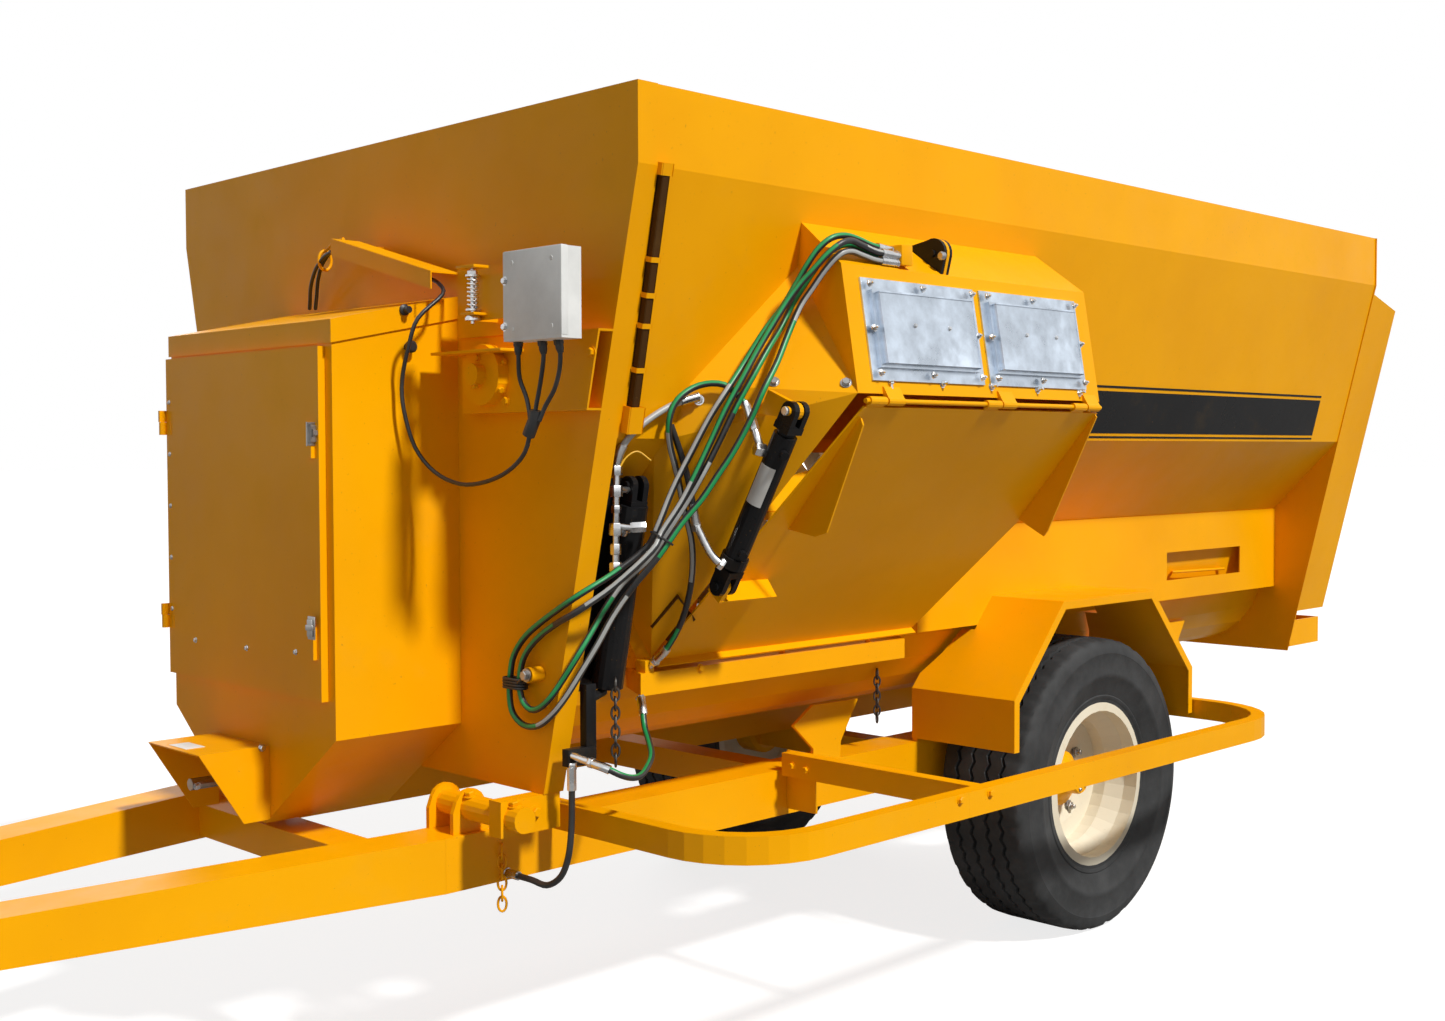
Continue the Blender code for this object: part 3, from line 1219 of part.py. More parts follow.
def magnets():
    """Two covered boxes on the hood's face."""
    slope = math.atan2(HOOD_TOP_Y - HOOD_FOOT_Y, HOOD_TOP_Z - HOOD_FOOT_Z)
    middle_y = (HOOD_TOP_Y + HOOD_FOOT_Y) / 2
    middle_z = (HOOD_TOP_Z + HOOD_FOOT_Z) / 2
    height = HOOD_FACE - MAGNET_MARGIN
    for name, x in (("magnet_plate_front", MAGNET_X[0]), ("magnet_plate_rear", MAGNET_X[1])):
        flange = block((-MAGNET_W / 2, GAP, -height / 2), (MAGNET_W / 2, 0.006, height / 2))
        cover = block((-MAGNET_W / 2 + 0.03, 0.004, -height / 2 + 0.035),
                      (MAGNET_W / 2 - 0.03, MAGNET_T, height / 2 - 0.035))
        body = join(flange, cover)
        turn = Matrix.Rotation(-slope, 4, "X")
        move(body, Matrix.Translation((x, middle_y, middle_z)) @ turn)
        finish(name, body, "galvanised")


def stay():
    """Black fork on the hood's roof, pinned to the lug that stands there."""
    inner = STAY_LUG / 2 + FORK_GAP
    outer = inner + STAY_CHEEK
    body = None
    for sign in (1, -1):
        near, far = sorted((STAY_X + sign * inner, STAY_X + sign * outer))
        cheek = plate(roof_lug(GAP), "x", near, far)
        body = cheek if body is None else join(body, cheek)
    pin_y, pin_z = stay_pin()
    reach = outer + PIN_HEAD
    body = join(body, rod((STAY_X - reach, pin_y, pin_z), (STAY_X + reach, pin_y, pin_z), STAY_PIN_R, 12))
    finish("hood_stay", body, "black")


def indicator():
    """Weighing display on a bracket at the tank's front."""
    top = TANK_TOP - INDICATOR_DROP
    low, high = top - 0.195, top
    bracket = plate([(0.52, low), (0.75, low), (0.75, high), (0.52, high)], "x", 0.055, 0.061)
    arm = block((0.056, 0.70, low + 0.035), (0.14, 0.708, high - 0.04))
    back = block((0.134, 0.70, low + 0.035), (0.140, 1.0, high - 0.04))
    leg = block((GAP, 0.54, low + 0.055), (0.058, 0.60, low + 0.115))
    finish("indicator_bracket", join(bracket, arm, back, leg), "zinc")
    case = block((0.140 + GAP, 0.92, low - 0.035), (0.205, 1.155, high))
    finish("indicator", case, "white")
    section = [(0.05, 0.0), (0.05, 0.05), (0.15, 0.05), (0.15, 0.0)]
    start = TANK_TOP - CHANNEL_DROP
    finish("cable_channel", channel_along((0.0, start), (0.516, start - 0.138), section), "zinc")


def channel_along(start, end, section):
    """An inverted channel from one (y, z) point to another; its section is (x, drop)."""
    (y0, z0), (y1, z1) = start, end
    x0, x1 = section[0][0], section[2][0]
    outer = [(y0, z0), (y1, z1), (y1, z1 - 0.05), (y0, z0 - 0.05)]
    inner = [(y0 - 0.1, z0 - 0.004 + (z0 - z1) * 0.1 / (y1 - y0)), (y1 + 0.1, z1 - 0.004 - (z0 - z1) * 0.1 / (y1 - y0)),
             (y1 + 0.1, z1 - 0.2), (y0 - 0.1, z0 - 0.2)]
    body = plate(outer, "x", x0, x1)
    body = cut(body, plate(inner, "x", x0 + 0.004, x1 - 0.004))
    return join(body, block((GAP, y0 + 0.02, z0 - 0.045), (x0 + 0.002, y0 + 0.06, z0 - 0.02)))


def centre_on_floor():
    """Put the centre of the machine's footprint on the world's origin."""
    low = [1e9] * 3
    high = [-1e9] * 3
    items = list(part_collection().objects)
    for item in items:
        for vertex in item.data.vertices:
            point = item.location + vertex.co
            for k in range(3):
                low[k] = min(low[k], point[k])
                high[k] = max(high[k], point[k])
    shift = Vector((-(low[0] + high[0]) / 2, -(low[1] + high[1]) / 2, -low[2]))
    frame = bpy.data.objects.new("wagon_frame", None)
    part_collection().objects.link(frame)
    for item in items:
        item.parent = frame
    frame.location = shift
    print("shift", [round(value, 6) for value in shift])
    print("size", [round(high[k] - low[k], 4) for k in range(3)])


def main():
    clear_scene()
    front_bulkhead()
    rear_bulkhead()
    side_left()
    side_right()
    trough()
    skirts()
    augers()
    bearing_plates()
    cabinet()
    pto()
    rails()
    tongues()
    crossbeams()
    hitch()
    jack()
    weigh_bars()
    axle()
    wheels()
    fenders()
    guards()
    discharge_housing()
    discharge_door()
    cylinders()
    gate_cylinder()
    sill()
    magnets()
    stay()
    indicator()
    centre_on_floor()


main()
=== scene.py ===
"""Looks of the feed mixer wagon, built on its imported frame."""
import json
import math

import bmesh
import bpy
from mathutils import Matrix, Vector
from mathutils.bvhtree import BVHTree


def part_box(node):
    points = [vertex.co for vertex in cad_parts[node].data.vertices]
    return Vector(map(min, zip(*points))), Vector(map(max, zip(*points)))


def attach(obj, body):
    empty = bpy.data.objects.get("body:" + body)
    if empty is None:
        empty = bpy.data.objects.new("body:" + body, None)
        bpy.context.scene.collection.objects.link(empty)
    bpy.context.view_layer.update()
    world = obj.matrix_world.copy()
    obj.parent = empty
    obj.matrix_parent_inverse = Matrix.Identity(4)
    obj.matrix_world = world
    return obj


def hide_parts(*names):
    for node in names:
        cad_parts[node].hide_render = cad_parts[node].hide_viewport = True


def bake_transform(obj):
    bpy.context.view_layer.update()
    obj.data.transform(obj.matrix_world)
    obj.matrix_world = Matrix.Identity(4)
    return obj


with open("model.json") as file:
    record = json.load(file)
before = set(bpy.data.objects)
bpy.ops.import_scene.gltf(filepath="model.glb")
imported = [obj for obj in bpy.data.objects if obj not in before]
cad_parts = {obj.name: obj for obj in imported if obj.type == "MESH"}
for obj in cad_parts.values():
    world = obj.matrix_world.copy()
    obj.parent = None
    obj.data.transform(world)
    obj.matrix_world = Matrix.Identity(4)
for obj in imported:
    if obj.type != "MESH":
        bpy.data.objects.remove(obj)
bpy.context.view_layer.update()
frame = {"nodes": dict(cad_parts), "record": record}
NODES = frame["nodes"]

# Places are in the machine's own layout, in metres from the ground under the middle of the tank's
# front wall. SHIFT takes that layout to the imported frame.
SHIFT = Vector((1.095, -0.130, 0.0))
MACHINE = Matrix.Translation(SHIFT)
SIDES = (("left", 1), ("right", -1))


def at(x, y, z):
    """A point of the machine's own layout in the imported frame."""
    return Vector((x, y, z)) + SHIFT


# Camera: sensor's width in millimetres, focal length and picture size in pixels

SENSOR = 36.0
LENS = 1617.29
PICTURE = (1445.0, 1021.0)
EYE = at(2.7782, 4.293, 1.8067)
YAW, PITCH, ROLL = math.radians(225.0005), math.radians(-2.1195), math.radians(-0.15)
AHEAD = Vector((math.cos(YAW) * math.cos(PITCH), math.sin(YAW) * math.cos(PITCH), math.sin(PITCH)))
LEVEL = AHEAD.cross(Vector((0, 0, 1))).normalized()
RIGHT = math.cos(ROLL) * LEVEL + math.sin(ROLL) * LEVEL.cross(AHEAD)
UP = -math.sin(ROLL) * LEVEL + math.cos(ROLL) * LEVEL.cross(AHEAD)


def new_object(name, data):
    item = bpy.data.objects.new(name, data)
    bpy.context.scene.collection.objects.link(item)
    return item


def make_camera():
    data = bpy.data.cameras.new("camera")
    data.sensor_width = SENSOR
    data.sensor_fit = "HORIZONTAL"
    data.lens = LENS / PICTURE[0] * SENSOR
    data.clip_end = 200.0
    item = new_object("camera", data)
    item.matrix_world = Matrix.Translation(EYE) @ Matrix((RIGHT, UP, -AHEAD)).transposed().to_4x4()
    bpy.context.scene.camera = item


make_camera()


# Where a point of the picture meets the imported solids

def surface_tree():
    points, faces = [], []
    for item in NODES.values():
        first = len(points)
        points += [vertex.co.copy() for vertex in item.data.vertices]
        faces += [[first + index for index in face.vertices] for face in item.data.polygons]
    return BVHTree.FromPolygons(points, faces)


TREE = surface_tree()


def strike(start, direction):
    """The first solid that a ray meets: the point and the normal, turned back along the ray."""
    point, normal, _, _ = TREE.ray_cast(start, direction.normalized())
    if normal.dot(direction) > 0:
        normal = -normal
    return point, normal.normalized()


def sight(u, v):
    """The way from the eye through a place of the picture, in its pixels."""
    return AHEAD + RIGHT * (u - PICTURE[0] / 2) / LENS - UP * (v - PICTURE[1] / 2) / LENS


def seat(u, v):
    """The first solid behind a place of the picture."""
    return strike(EYE, sight(u, v))


def side_point(x, z, lift, sign):
    """A point on the outside of the tank's side, lift metres proud of it."""
    point, normal = strike(at(x, sign * 3.0, z), Vector((0, -sign, 0)))
    return point + normal * lift


# Materials

def new_material(name):
    made = bpy.data.materials.new(name)
    made.use_nodes = True
    tree = made.node_tree
    return made, tree, tree.nodes["Principled BSDF"]


def set_inputs(node, values):
    for name, value in values.items():
        node.inputs[name].default_value = value


def add_node(tree, kind, inputs=None, **settings):
    """A shader node with constants on its inputs and its own settings."""
    made = tree.nodes.new("ShaderNode" + kind)
    for name, value in settings.items():
        setattr(made, name, value)
    set_inputs(made, inputs or {})
    return made


def object_point(tree, scale=(1.0, 1.0, 1.0)):
    """Texture coordinates fixed to the object, in metres."""
    source = add_node(tree, "TexCoord")
    mapping = add_node(tree, "Mapping", {"Scale": scale})
    tree.links.new(source.outputs["Object"], mapping.inputs["Vector"])
    return mapping.outputs["Vector"]


def noise(tree, vector, scale, detail=3.0, rough=0.5):
    made = add_node(tree, "TexNoise", {"Scale": scale, "Detail": detail, "Roughness": rough})
    tree.links.new(vector, made.inputs["Vector"])
    return made.outputs["Fac"]


def ramp(tree, factor, low, low_colour, high, high_colour):
    """A colour that turns from one to the other while factor goes from low to high."""
    made = add_node(tree, "ValToRGB")
    tree.links.new(factor, made.inputs["Fac"])
    for stop, position, colour in zip(made.color_ramp.elements, (low, high), (low_colour, high_colour)):
        stop.position = position
        stop.color = (*colour, 1.0)
    return made.outputs["Color"]


def lay_over(tree, factor, under, colour):
    """A plain colour over what is under it, as dense as factor."""
    made = add_node(tree, "Mix", data_type="RGBA")
    tree.links.new(factor, made.inputs[0])
    tree.links.new(under, made.inputs[6])
    made.inputs[7].default_value = (*colour, 1.0)
    return made.outputs[2]


def value_range(tree, factor, low, high, to_low, to_high):
    ends = {"From Min": low, "From Max": high, "To Min": to_low, "To Max": to_high}
    made = add_node(tree, "MapRange", ends)
    tree.links.new(factor, made.inputs["Value"])
    return made.outputs["Result"]


def bump(tree, shader, height, strength, distance):
    made = add_node(tree, "Bump", {"Strength": strength, "Distance": distance})
    tree.links.new(height, made.inputs["Height"])
    tree.links.new(made.outputs["Normal"], shader.inputs["Normal"])


CLEAN = (0.0, 0.0, 0.0)
DUST = (0.60, 0.34, 0.06)
SCUFF = (0.30, 0.16, 0.03)
SCUFF_DENSITY = (0.35, 0.35, 0.35)
ALONG_SCRATCHES = (1.0, 0.15, 1.0)


def paint(name, colour, deeper, dust=0.10, roughness=0.36):
    """Sprayed gloss paint over plate: slight tone drift, orange peel, dusty patches, scuffs."""
    made, tree, shader = new_material(name)
    point = object_point(tree)
    broad = noise(tree, point, 1.3, detail=4.0, rough=0.55)
    patch = noise(tree, point, 5.5, detail=6.0, rough=0.68)
    speck = noise(tree, point, 120.0, detail=2.0)
    tone = ramp(tree, broad, 0.30, deeper, 0.62, colour)
    dirt = ramp(tree, patch, 0.56, CLEAN, 0.80, (dust, dust, dust))
    marks = ramp(tree, speck, 0.73, CLEAN, 0.76, SCUFF_DENSITY)
    dusty = lay_over(tree, dirt, tone, DUST)
    tree.links.new(lay_over(tree, marks, dusty, SCUFF), shader.inputs["Base Color"])
    sheen = value_range(tree, patch, 0.3, 0.8, roughness - 0.06, roughness + 0.20)
    tree.links.new(sheen, shader.inputs["Roughness"])
    set_inputs(shader, {"Coat Weight": 0.05, "Coat Roughness": 0.12, "Specular IOR Level": 0.12})
    peel = noise(tree, point, 260.0, detail=2.0)
    bump(tree, shader, peel, strength=0.10, distance=0.0006)
    return made


def metal(name, colour, roughness):
    """Bare or plated metal with fine scratches and a cloudy sheen."""
    made, tree, shader = new_material(name)
    cloud = noise(tree, object_point(tree), 14.0, detail=5.0, rough=0.6)
    dark = [c * 0.72 for c in colour]
    tree.links.new(ramp(tree, cloud, 0.35, dark, 0.65, colour), shader.inputs["Base Color"])
    sheen = value_range(tree, cloud, 0.3, 0.7, roughness - 0.12, roughness + 0.12)
    tree.links.new(sheen, shader.inputs["Roughness"])
    shader.inputs["Metallic"].default_value = 1.0
    scratches = noise(tree, object_point(tree, ALONG_SCRATCHES), 240.0, rough=0.6)
    bump(tree, shader, scratches, strength=0.12, distance=0.0005)
    return made


def rubber(name, colour, roughness=0.75, grain=180.0):
    made, tree, shader = new_material(name)
    point = object_point(tree)
    cloud = noise(tree, point, 6.0, detail=5.0, rough=0.65)
    pale = [min(1.0, c * 2.4 + 0.02) for c in colour]
    tree.links.new(ramp(tree, cloud, 0.40, colour, 0.85, pale), shader.inputs["Base Color"])
    shader.inputs["Roughness"].default_value = roughness
    bump(tree, shader, noise(tree, point, grain, rough=0.6), strength=0.25, distance=0.0012)
    return made


def plastic(name, colour, roughness=0.45):
    made, tree, shader = new_material(name)
    point = object_point(tree)
    cloud = noise(tree, point, 9.0, detail=4.0, rough=0.6)
    deep = [c * 0.88 for c in colour]
    tree.links.new(ramp(tree, cloud, 0.35, deep, 0.65, colour), shader.inputs["Base Color"])
    shader.inputs["Roughness"].default_value = roughness
    bump(tree, shader, noise(tree, point, 350.0, detail=2.0), strength=0.15, distance=0.0006)
    return made


YELLOW = paint("yellow_paint", (0.95, 0.425, 0.0), (0.87, 0.370, 0.0))
CREAM = paint("cream_paint", (0.80, 0.74, 0.60), (0.70, 0.63, 0.48), dust=0.35, roughness=0.35)
BLACK = paint("black_paint", (0.014, 0.014, 0.015), (0.009, 0.009, 0.010), dust=0.05, roughness=0.28)
BROWN = paint("brown_paint", (0.085, 0.034, 0.006), (0.055, 0.022, 0.004), dust=0.08, roughness=0.45)
STEEL = metal("worn_steel", (0.46, 0.45, 0.44), 0.36)
ZINC = metal("zinc_plate", (0.74, 0.75, 0.76), 0.26)
GALVANISED = metal("galvanised_plate", (0.66, 0.74, 0.84), 0.36)
DARK_STEEL = metal("dark_steel", (0.12, 0.115, 0.11), 0.45)
RUBBER = rubber("tyre_rubber", (0.013, 0.014, 0.015))
HOSE_RUBBER = rubber("hose_rubber", (0.013, 0.013, 0.014), roughness=0.38, grain=420.0)
BLACK_PLASTIC = plastic("black_plastic", (0.020, 0.020, 0.021))
WHITE_PLASTIC = plastic("white_plastic", (0.80, 0.81, 0.80))
GREEN_PRINT = plastic("green_print", (0.010, 0.300, 0.085), 0.40)
GREY_PRINT = plastic("grey_print", (0.42, 0.43, 0.42), 0.40)
PAPER = plastic("blank_label", (0.62, 0.62, 0.60), 0.50)
TIE = plastic("yellow_tie", (0.80, 0.42, 0.010), 0.40)
RED = plastic("red_tag", (0.55, 0.025, 0.015), 0.45)

FINISH_BY_SLOT = {
    "yellow_paint": YELLOW, "cream_paint": CREAM, "black_paint": BLACK, "bright_steel": STEEL,
    "zinc_plate": ZINC, "black_plastic": BLACK_PLASTIC, "tyre": RUBBER, "galvanised": GALVANISED,
    "white_plastic": WHITE_PLASTIC,
}
FINISH_BY_NODE = {"indicator_bracket": YELLOW, "cable_channel": YELLOW}


def dress_nodes():
    slots = {entry["node"]: entry["material_slot"] for entry in frame["record"]["subparts"]}
    for name, item in NODES.items():
        finish = FINISH_BY_NODE.get(name, FINISH_BY_SLOT[slots[name]])
        for slot in item.material_slots:
            slot.material = finish
        if not item.material_slots:
            item.data.materials.append(finish)


dress_nodes()


# Shapes

def frame_at(point, normal, up=(0, 0, 1)):
    """A matrix whose Z runs along normal and whose Y is as near to up as it can be."""
    normal = Vector(normal).normalized()
    across = Vector(up).cross(normal)
    if across.length < 1e-4:
        across = Vector((1, 0, 0)).cross(normal)
    across.normalize()
    turn = Matrix((across, normal.cross(across), normal)).transposed().to_4x4()
    return Matrix.Translation(point) @ turn


def add_box(bm, matrix, low, high, bevel=0.0):
    low, high = Vector(low), Vector(high)
    made = bmesh.ops.create_cube(bm, size=1.0)["verts"]
    for vertex in made:
        place = Vector((vertex.co[i] * (high[i] - low[i]) for i in range(3)))
        vertex.co = matrix @ (place + (low + high) / 2)
    if bevel:
        edges = list(dict.fromkeys(edge for vertex in made for edge in vertex.link_edges))
        bmesh.ops.bevel(bm, geom=edges, offset=bevel, segments=2, affect="EDGES", profile=0.6)


def add_turned(bm, matrix, profile, steps=20):
    """A turned shape about the matrix's Z, from its (radius, height) profile."""
    rings = []
    turns = [math.tau * i / steps for i in range(steps)]
    for radius, height in profile:
        if radius == 0:
            rings.append([bm.verts.new(matrix @ Vector((0, 0, height)))])
            continue
        ring = [Vector((radius * math.cos(turn), radius * math.sin(turn), height)) for turn in turns]
        rings.append([bm.verts.new(matrix @ point) for point in ring])
    for near, far in zip(rings, rings[1:]):
        for i in range(steps):
            j = (i + 1) % steps
            loop = [near[i % len(near)], near[j % len(near)], far[j % len(far)], far[i % len(far)]]
            kept = [v for k, v in enumerate(loop) if v not in loop[:k]]
            if len(kept) > 2:
                bm.faces.new(kept)


def add_cap(bm, point, normal, profile, steps=18):
    """A turned shape on a face. Its (radius, height) profile is closed to the axis at both ends."""
    closed = [(0, profile[0][1]), *profile, (0, profile[-1][1])]
    add_turned(bm, frame_at(point, normal), closed, steps)


def add_bolt(bm, point, normal, across, spin=0.3, stud=0.0):
    """A washer, a chamfered hex head or nut, and the end of its stud."""
    r = across / 2
    place = frame_at(point, normal) @ Matrix.Rotation(spin, 4, "Z")
    washer = [(0, -0.001), (r * 1.45, -0.001), (r * 1.45, r * 0.20), (0, r * 0.20)]
    add_turned(bm, place, washer)
    head = [(0, r * 0.2), (r * 1.06, r * 0.2), (r * 1.10, r * 0.3), (r * 1.10, r * 0.95),
            (r * 0.92, r * 1.12), (0, r * 1.12)]
    add_turned(bm, place, head, 6)
    if stud:
        end = [(0, r), (r * 0.52, r), (r * 0.52, stud - r * 0.1), (r * 0.42, stud), (0, stud)]
        add_turned(bm, place, end, 12)


def rings_along(points):
    """Tangent and two cross directions at each point, turning slowly towards one guide."""
    guide = Vector((0.55, 0.80, 0.25))
    out = []
    across = None
    for i in range(len(points)):
        tangent = (points[min(i + 1, len(points) - 1)] - points[max(i - 1, 0)]).normalized()
        lean = guide if across is None else across + guide * 0.12
        across = (lean - tangent * lean.dot(tangent)).normalized()
        out.append((tangent, across, tangent.cross(across)))
    return out


def add_sweep(bm, points, radius, sides=12, index_of=None):
    """A tube with closed ends along points. index_of(i, side) gives a face's material."""
    points = [Vector(p) for p in points]
    turns = [math.tau * (k + 0.5) / sides for k in range(sides)]
    loops = []
    for point, (_, across, other) in zip(points, rings_along(points)):
        loops.append([bm.verts.new(point + radius * (math.cos(turn) * across + math.sin(turn) * other))
                      for turn in turns])
    for i, (near, far) in enumerate(zip(loops, loops[1:])):
        for k in range(sides):
            n = (k + 1) % sides
            face = bm.faces.new((near[k], near[n], far[n], far[k]))
            if index_of:
                face.material_index = index_of(i, k)
    bm.faces.new(list(reversed(loops[0])))
    bm.faces.new(loops[-1])


def add_rod(bm, start, end, radius):
    add_sweep(bm, [start, end], radius, 14)


def add_nut(bm, start, end, radius):
    length = (end - start).length
    edge = 0.12 * length
    outline = [(radius * 0.9, 0), (radius, edge), (radius, 0.88 * length), (radius * 0.9, length)]
    add_cap(bm, start, end - start, outline, 6)


def smooth_path(points, parts=4):
    """Catmull-Rom curve through points."""
    points = [Vector(p) for p in points]
    ends = [points[0] * 2 - points[1]] + points + [points[-1] * 2 - points[-2]]
    out = []
    for a, b, c, d in zip(ends, ends[1:], ends[2:], ends[3:]):
        for k in range(parts):
            t = k / parts
            out.append(0.5 * (2 * b + (c - a) * t + (2 * a - 5 * b + 4 * c - d) * t * t
                              + (3 * b - a - 3 * c + d) * t * t * t))
    out.append(points[-1])
    return out


def add_bend(bm, points, radius, sides=14):
    """A tube on a smooth curve through points."""
    add_sweep(bm, smooth_path(points), radius, sides)


def piece(name, bm, finish, body="chassis_and_tank", smooth=38):
    """An object of the scene from its mesh, riding on body. Edges sharper than smooth stay hard."""
    mesh = bpy.data.meshes.new(name)
    bmesh.ops.recalc_face_normals(bm, faces=bm.faces)
    bm.to_mesh(mesh)
    bm.free()
    for coat in finish if isinstance(finish, list) else [finish]:
        mesh.materials.append(coat)
    mesh.shade_smooth()
    mesh.set_sharp_from_angle(angle=math.radians(smooth))
    item = new_object(name, mesh)
    if body:
        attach(item, body)
    return item


# Hoses and cables, on the routes that they take over the machine

HOSE_R = 0.009
CABLE_R = 0.006
FERRULE_LENGTH = 0.050
ROUTES = {
    "loop_hose_outer": [
        (-.855, 1.346, 2.376), (-.770, 1.346, 2.384), (-.710, 1.346, 2.396), (-.655, 1.345, 2.402),
        (-.606, 1.338, 2.392), (-.572, 1.320, 2.362), (-.549, 1.297, 2.316), (-.532, 1.268, 2.260),
        (-.504, 1.245, 2.200), (-.450, 1.224, 2.129),
        (-.385, 1.208, 2.036), (-.320, 1.209, 1.965), (-.285, 1.182, 1.896), (-.250, 1.147, 1.803),
        (-.210, 1.116, 1.704), (-.170, 1.091, 1.591), (-.160, 1.058, 1.542), (-.070, 1.023, 1.475),
        (.020, .986, 1.420), (.024, .862, 1.354), (.028, .777, 1.299), (.030, .726, 1.242),
        (.030, .709, 1.185), (.030, .705, 1.128), (.030, .719, 1.080), (.030, .768, 1.052),
        (.030, .830, 1.057), (.020, .878, 1.091), (.005, .920, 1.143), (-.020, .962, 1.220),
        (-.045, .995, 1.289), (-.075, 1.023, 1.364), (-.110, 1.061, 1.439), (-.155, 1.115, 1.523),
        (-.210, 1.148, 1.611), (-.255, 1.180, 1.676), (-.290, 1.208, 1.742), (-.322, 1.238, 1.808),
        (-.350, 1.272, 1.890), (-.370, 1.299, 1.966), (-.430, 1.295, 2.045), (-.480, 1.287, 2.119),
        (-.530, 1.287, 2.200), (-.556, 1.310, 2.252), (-.578, 1.340, 2.304), (-.604, 1.366, 2.343),
        (-.642, 1.373, 2.356), (-.695, 1.370, 2.350), (-.760, 1.366, 2.342), (-.855, 1.366, 2.3408)],
    "loop_hose_inner": [
        (-.855, 1.368, 2.360), (-.760, 1.369, 2.364), (-.695, 1.372, 2.376), (-.642, 1.376, 2.384),
        (-.600, 1.374, 2.372), (-.568, 1.356, 2.343), (-.541, 1.330, 2.302), (-.515, 1.300, 2.259),
        (-.475, 1.277, 2.197), (-.405, 1.251, 2.084),
        (-.355, 1.237, 2.000), (-.315, 1.214, 1.919), (-.280, 1.187, 1.825), (-.245, 1.167, 1.742),
        (-.210, 1.147, 1.667), (-.165, 1.120, 1.589), (-.125, 1.124, 1.541), (-.045, 1.062, 1.449),
        (.022, .993, 1.382), (.024, .899, 1.339), (.026, .823, 1.294), (.030, .775, 1.246),
        (.030, .754, 1.197), (.030, .752, 1.147), (.030, .769, 1.113), (.030, .804, 1.098),
        (.030, .844, 1.110), (.025, .881, 1.141), (.010, .910, 1.186), (-.010, .954, 1.258),
        (-.050, .961, 1.315), (-.095, .963, 1.374), (-.140, .990, 1.447), (-.185, 1.055, 1.519),
        (-.205, 1.101, 1.590), (-.245, 1.138, 1.674), (-.275, 1.173, 1.755), (-.315, 1.195, 1.841),
        (-.352, 1.219, 1.930), (-.395, 1.238, 2.009), (-.455, 1.238, 2.085), (-.525, 1.225, 2.152),
        (-.562, 1.230, 2.214), (-.586, 1.262, 2.277), (-.602, 1.300, 2.331), (-.624, 1.332, 2.366),
        (-.662, 1.347, 2.378), (-.710, 1.348, 2.373), (-.770, 1.345, 2.361), (-.855, 1.343, 2.356)],
    "port_hose": [
        (-.393, 1.233, 1.890), (-.386, 1.213, 1.938), (-.352, 1.170, 1.986), (-.300, 1.125, 1.984),
        (-.240, 1.105, 1.946), (-.220, 1.092, 1.890), (-.240, 1.073, 1.824), (-.285, 1.054, 1.741),
        (-.322, 1.042, 1.645), (-.352, 1.042, 1.546), (-.375, 1.015, 1.439), (-.384, .968, 1.327),
        (-.380, .908, 1.240), (-.376, .864, 1.201)],
    "manifold_hose": [
        (-.336, .842, 1.094), (-.328, .856, 1.080), (-.318, .872, 1.062), (-.306, .893, 1.020),
        (-.285, .932, .990), (-.245, .988, .958), (-.195, 1.020, .932), (-.155, 1.038, .921),
        (-.115, 1.048, .924), (-.080, 1.044, .936), (-.053, 1.017, .954), (-.044, .970, .963)],
    "supply_hose": [
        (-.008, .6358, .610), (-.008, .690, .610), (-.008, .750, .610), (-.010, .815, .607),
        (-.016, .868, .640), (-.022, .894, .700), (-.028, .900, .780), (-.030, .900, .860),
        (-.030, .900, .945)],
    "display_cable": [
        (.100, .440, 2.298), (.105, .490, 2.280), (.120, .530, 2.245), (.200, .527, 2.175),
        (.220, .511, 2.101), (.220, .476, 2.005), (.215, .476, 1.922), (.190, .491, 1.819),
        (.160, .543, 1.749), (.150, .647, 1.717), (.150, .760, 1.724), (.150, .862, 1.754),
        (.150, .935, 1.805), (.150, .957, 1.875), (.150, .945, 1.940), (.160, .928, 1.995),
        (.171, .937, 2.045), (.172, .938, 2.0885)],
    "lead_middle": [
        (.150, 1.010, 2.088), (.148, 1.012, 2.050), (.146, 1.000, 2.000), (.144, .985, 1.955),
        (.146, .975, 1.915), (.150, .973, 1.880)],
    "lead_right": [
        (.150, 1.075, 2.088), (.148, 1.080, 2.055), (.144, 1.070, 2.010), (.140, 1.045, 1.965),
        (.140, 1.010, 1.925), (.146, .990, 1.885)],
    "feed_cable_upper": [
        (.075, -.090, 2.428), (.070, -.140, 2.420), (.065, -.190, 2.392), (.050, -.240, 2.350),
        (.035, -.275, 2.300), (.025, -.300, 2.262)],
    "feed_cable_lower": [
        (.095, -.090, 2.420), (.090, -.140, 2.408), (.085, -.195, 2.376), (.070, -.250, 2.330),
        (.050, -.290, 2.288), (.040, -.310, 2.262)],
}
STACK_FOOT = at(-.100, 1.006, 1.480)
STACK_TOP = at(-.100, 1.012, 1.770)
paths = {name: smooth_path([at(*p) for p in route]) for name, route in ROUTES.items()}


def between(start, end, places):
    """Points behind places of the picture, as deep as they lie between start and end."""
    out = []
    near, far = (start - EYE).dot(AHEAD), (end - EYE).dot(AHEAD)
    for k, (u, v) in enumerate(places):
        depth = near + (far - near) * (k + 1) / (len(places) + 1)
        depth = min(depth, (seat(u, v)[0] - EYE).dot(AHEAD) - 0.020)
        out.append(EYE + sight(u, v) * depth)
    return [start] + out + [end]


def drawn_path(start, end_place, lift, places):
    """A hose behind places of the picture, from start to lift metres off the face at end_place."""
    point, normal = seat(*end_place)
    line = between(start, point + normal * lift, places)
    for _ in range(2):
        line[1:-1] = [(a + b * 2 + c) / 4 for a, b, c in zip(line, line[1:], line[2:])]
    return smooth_path(line)


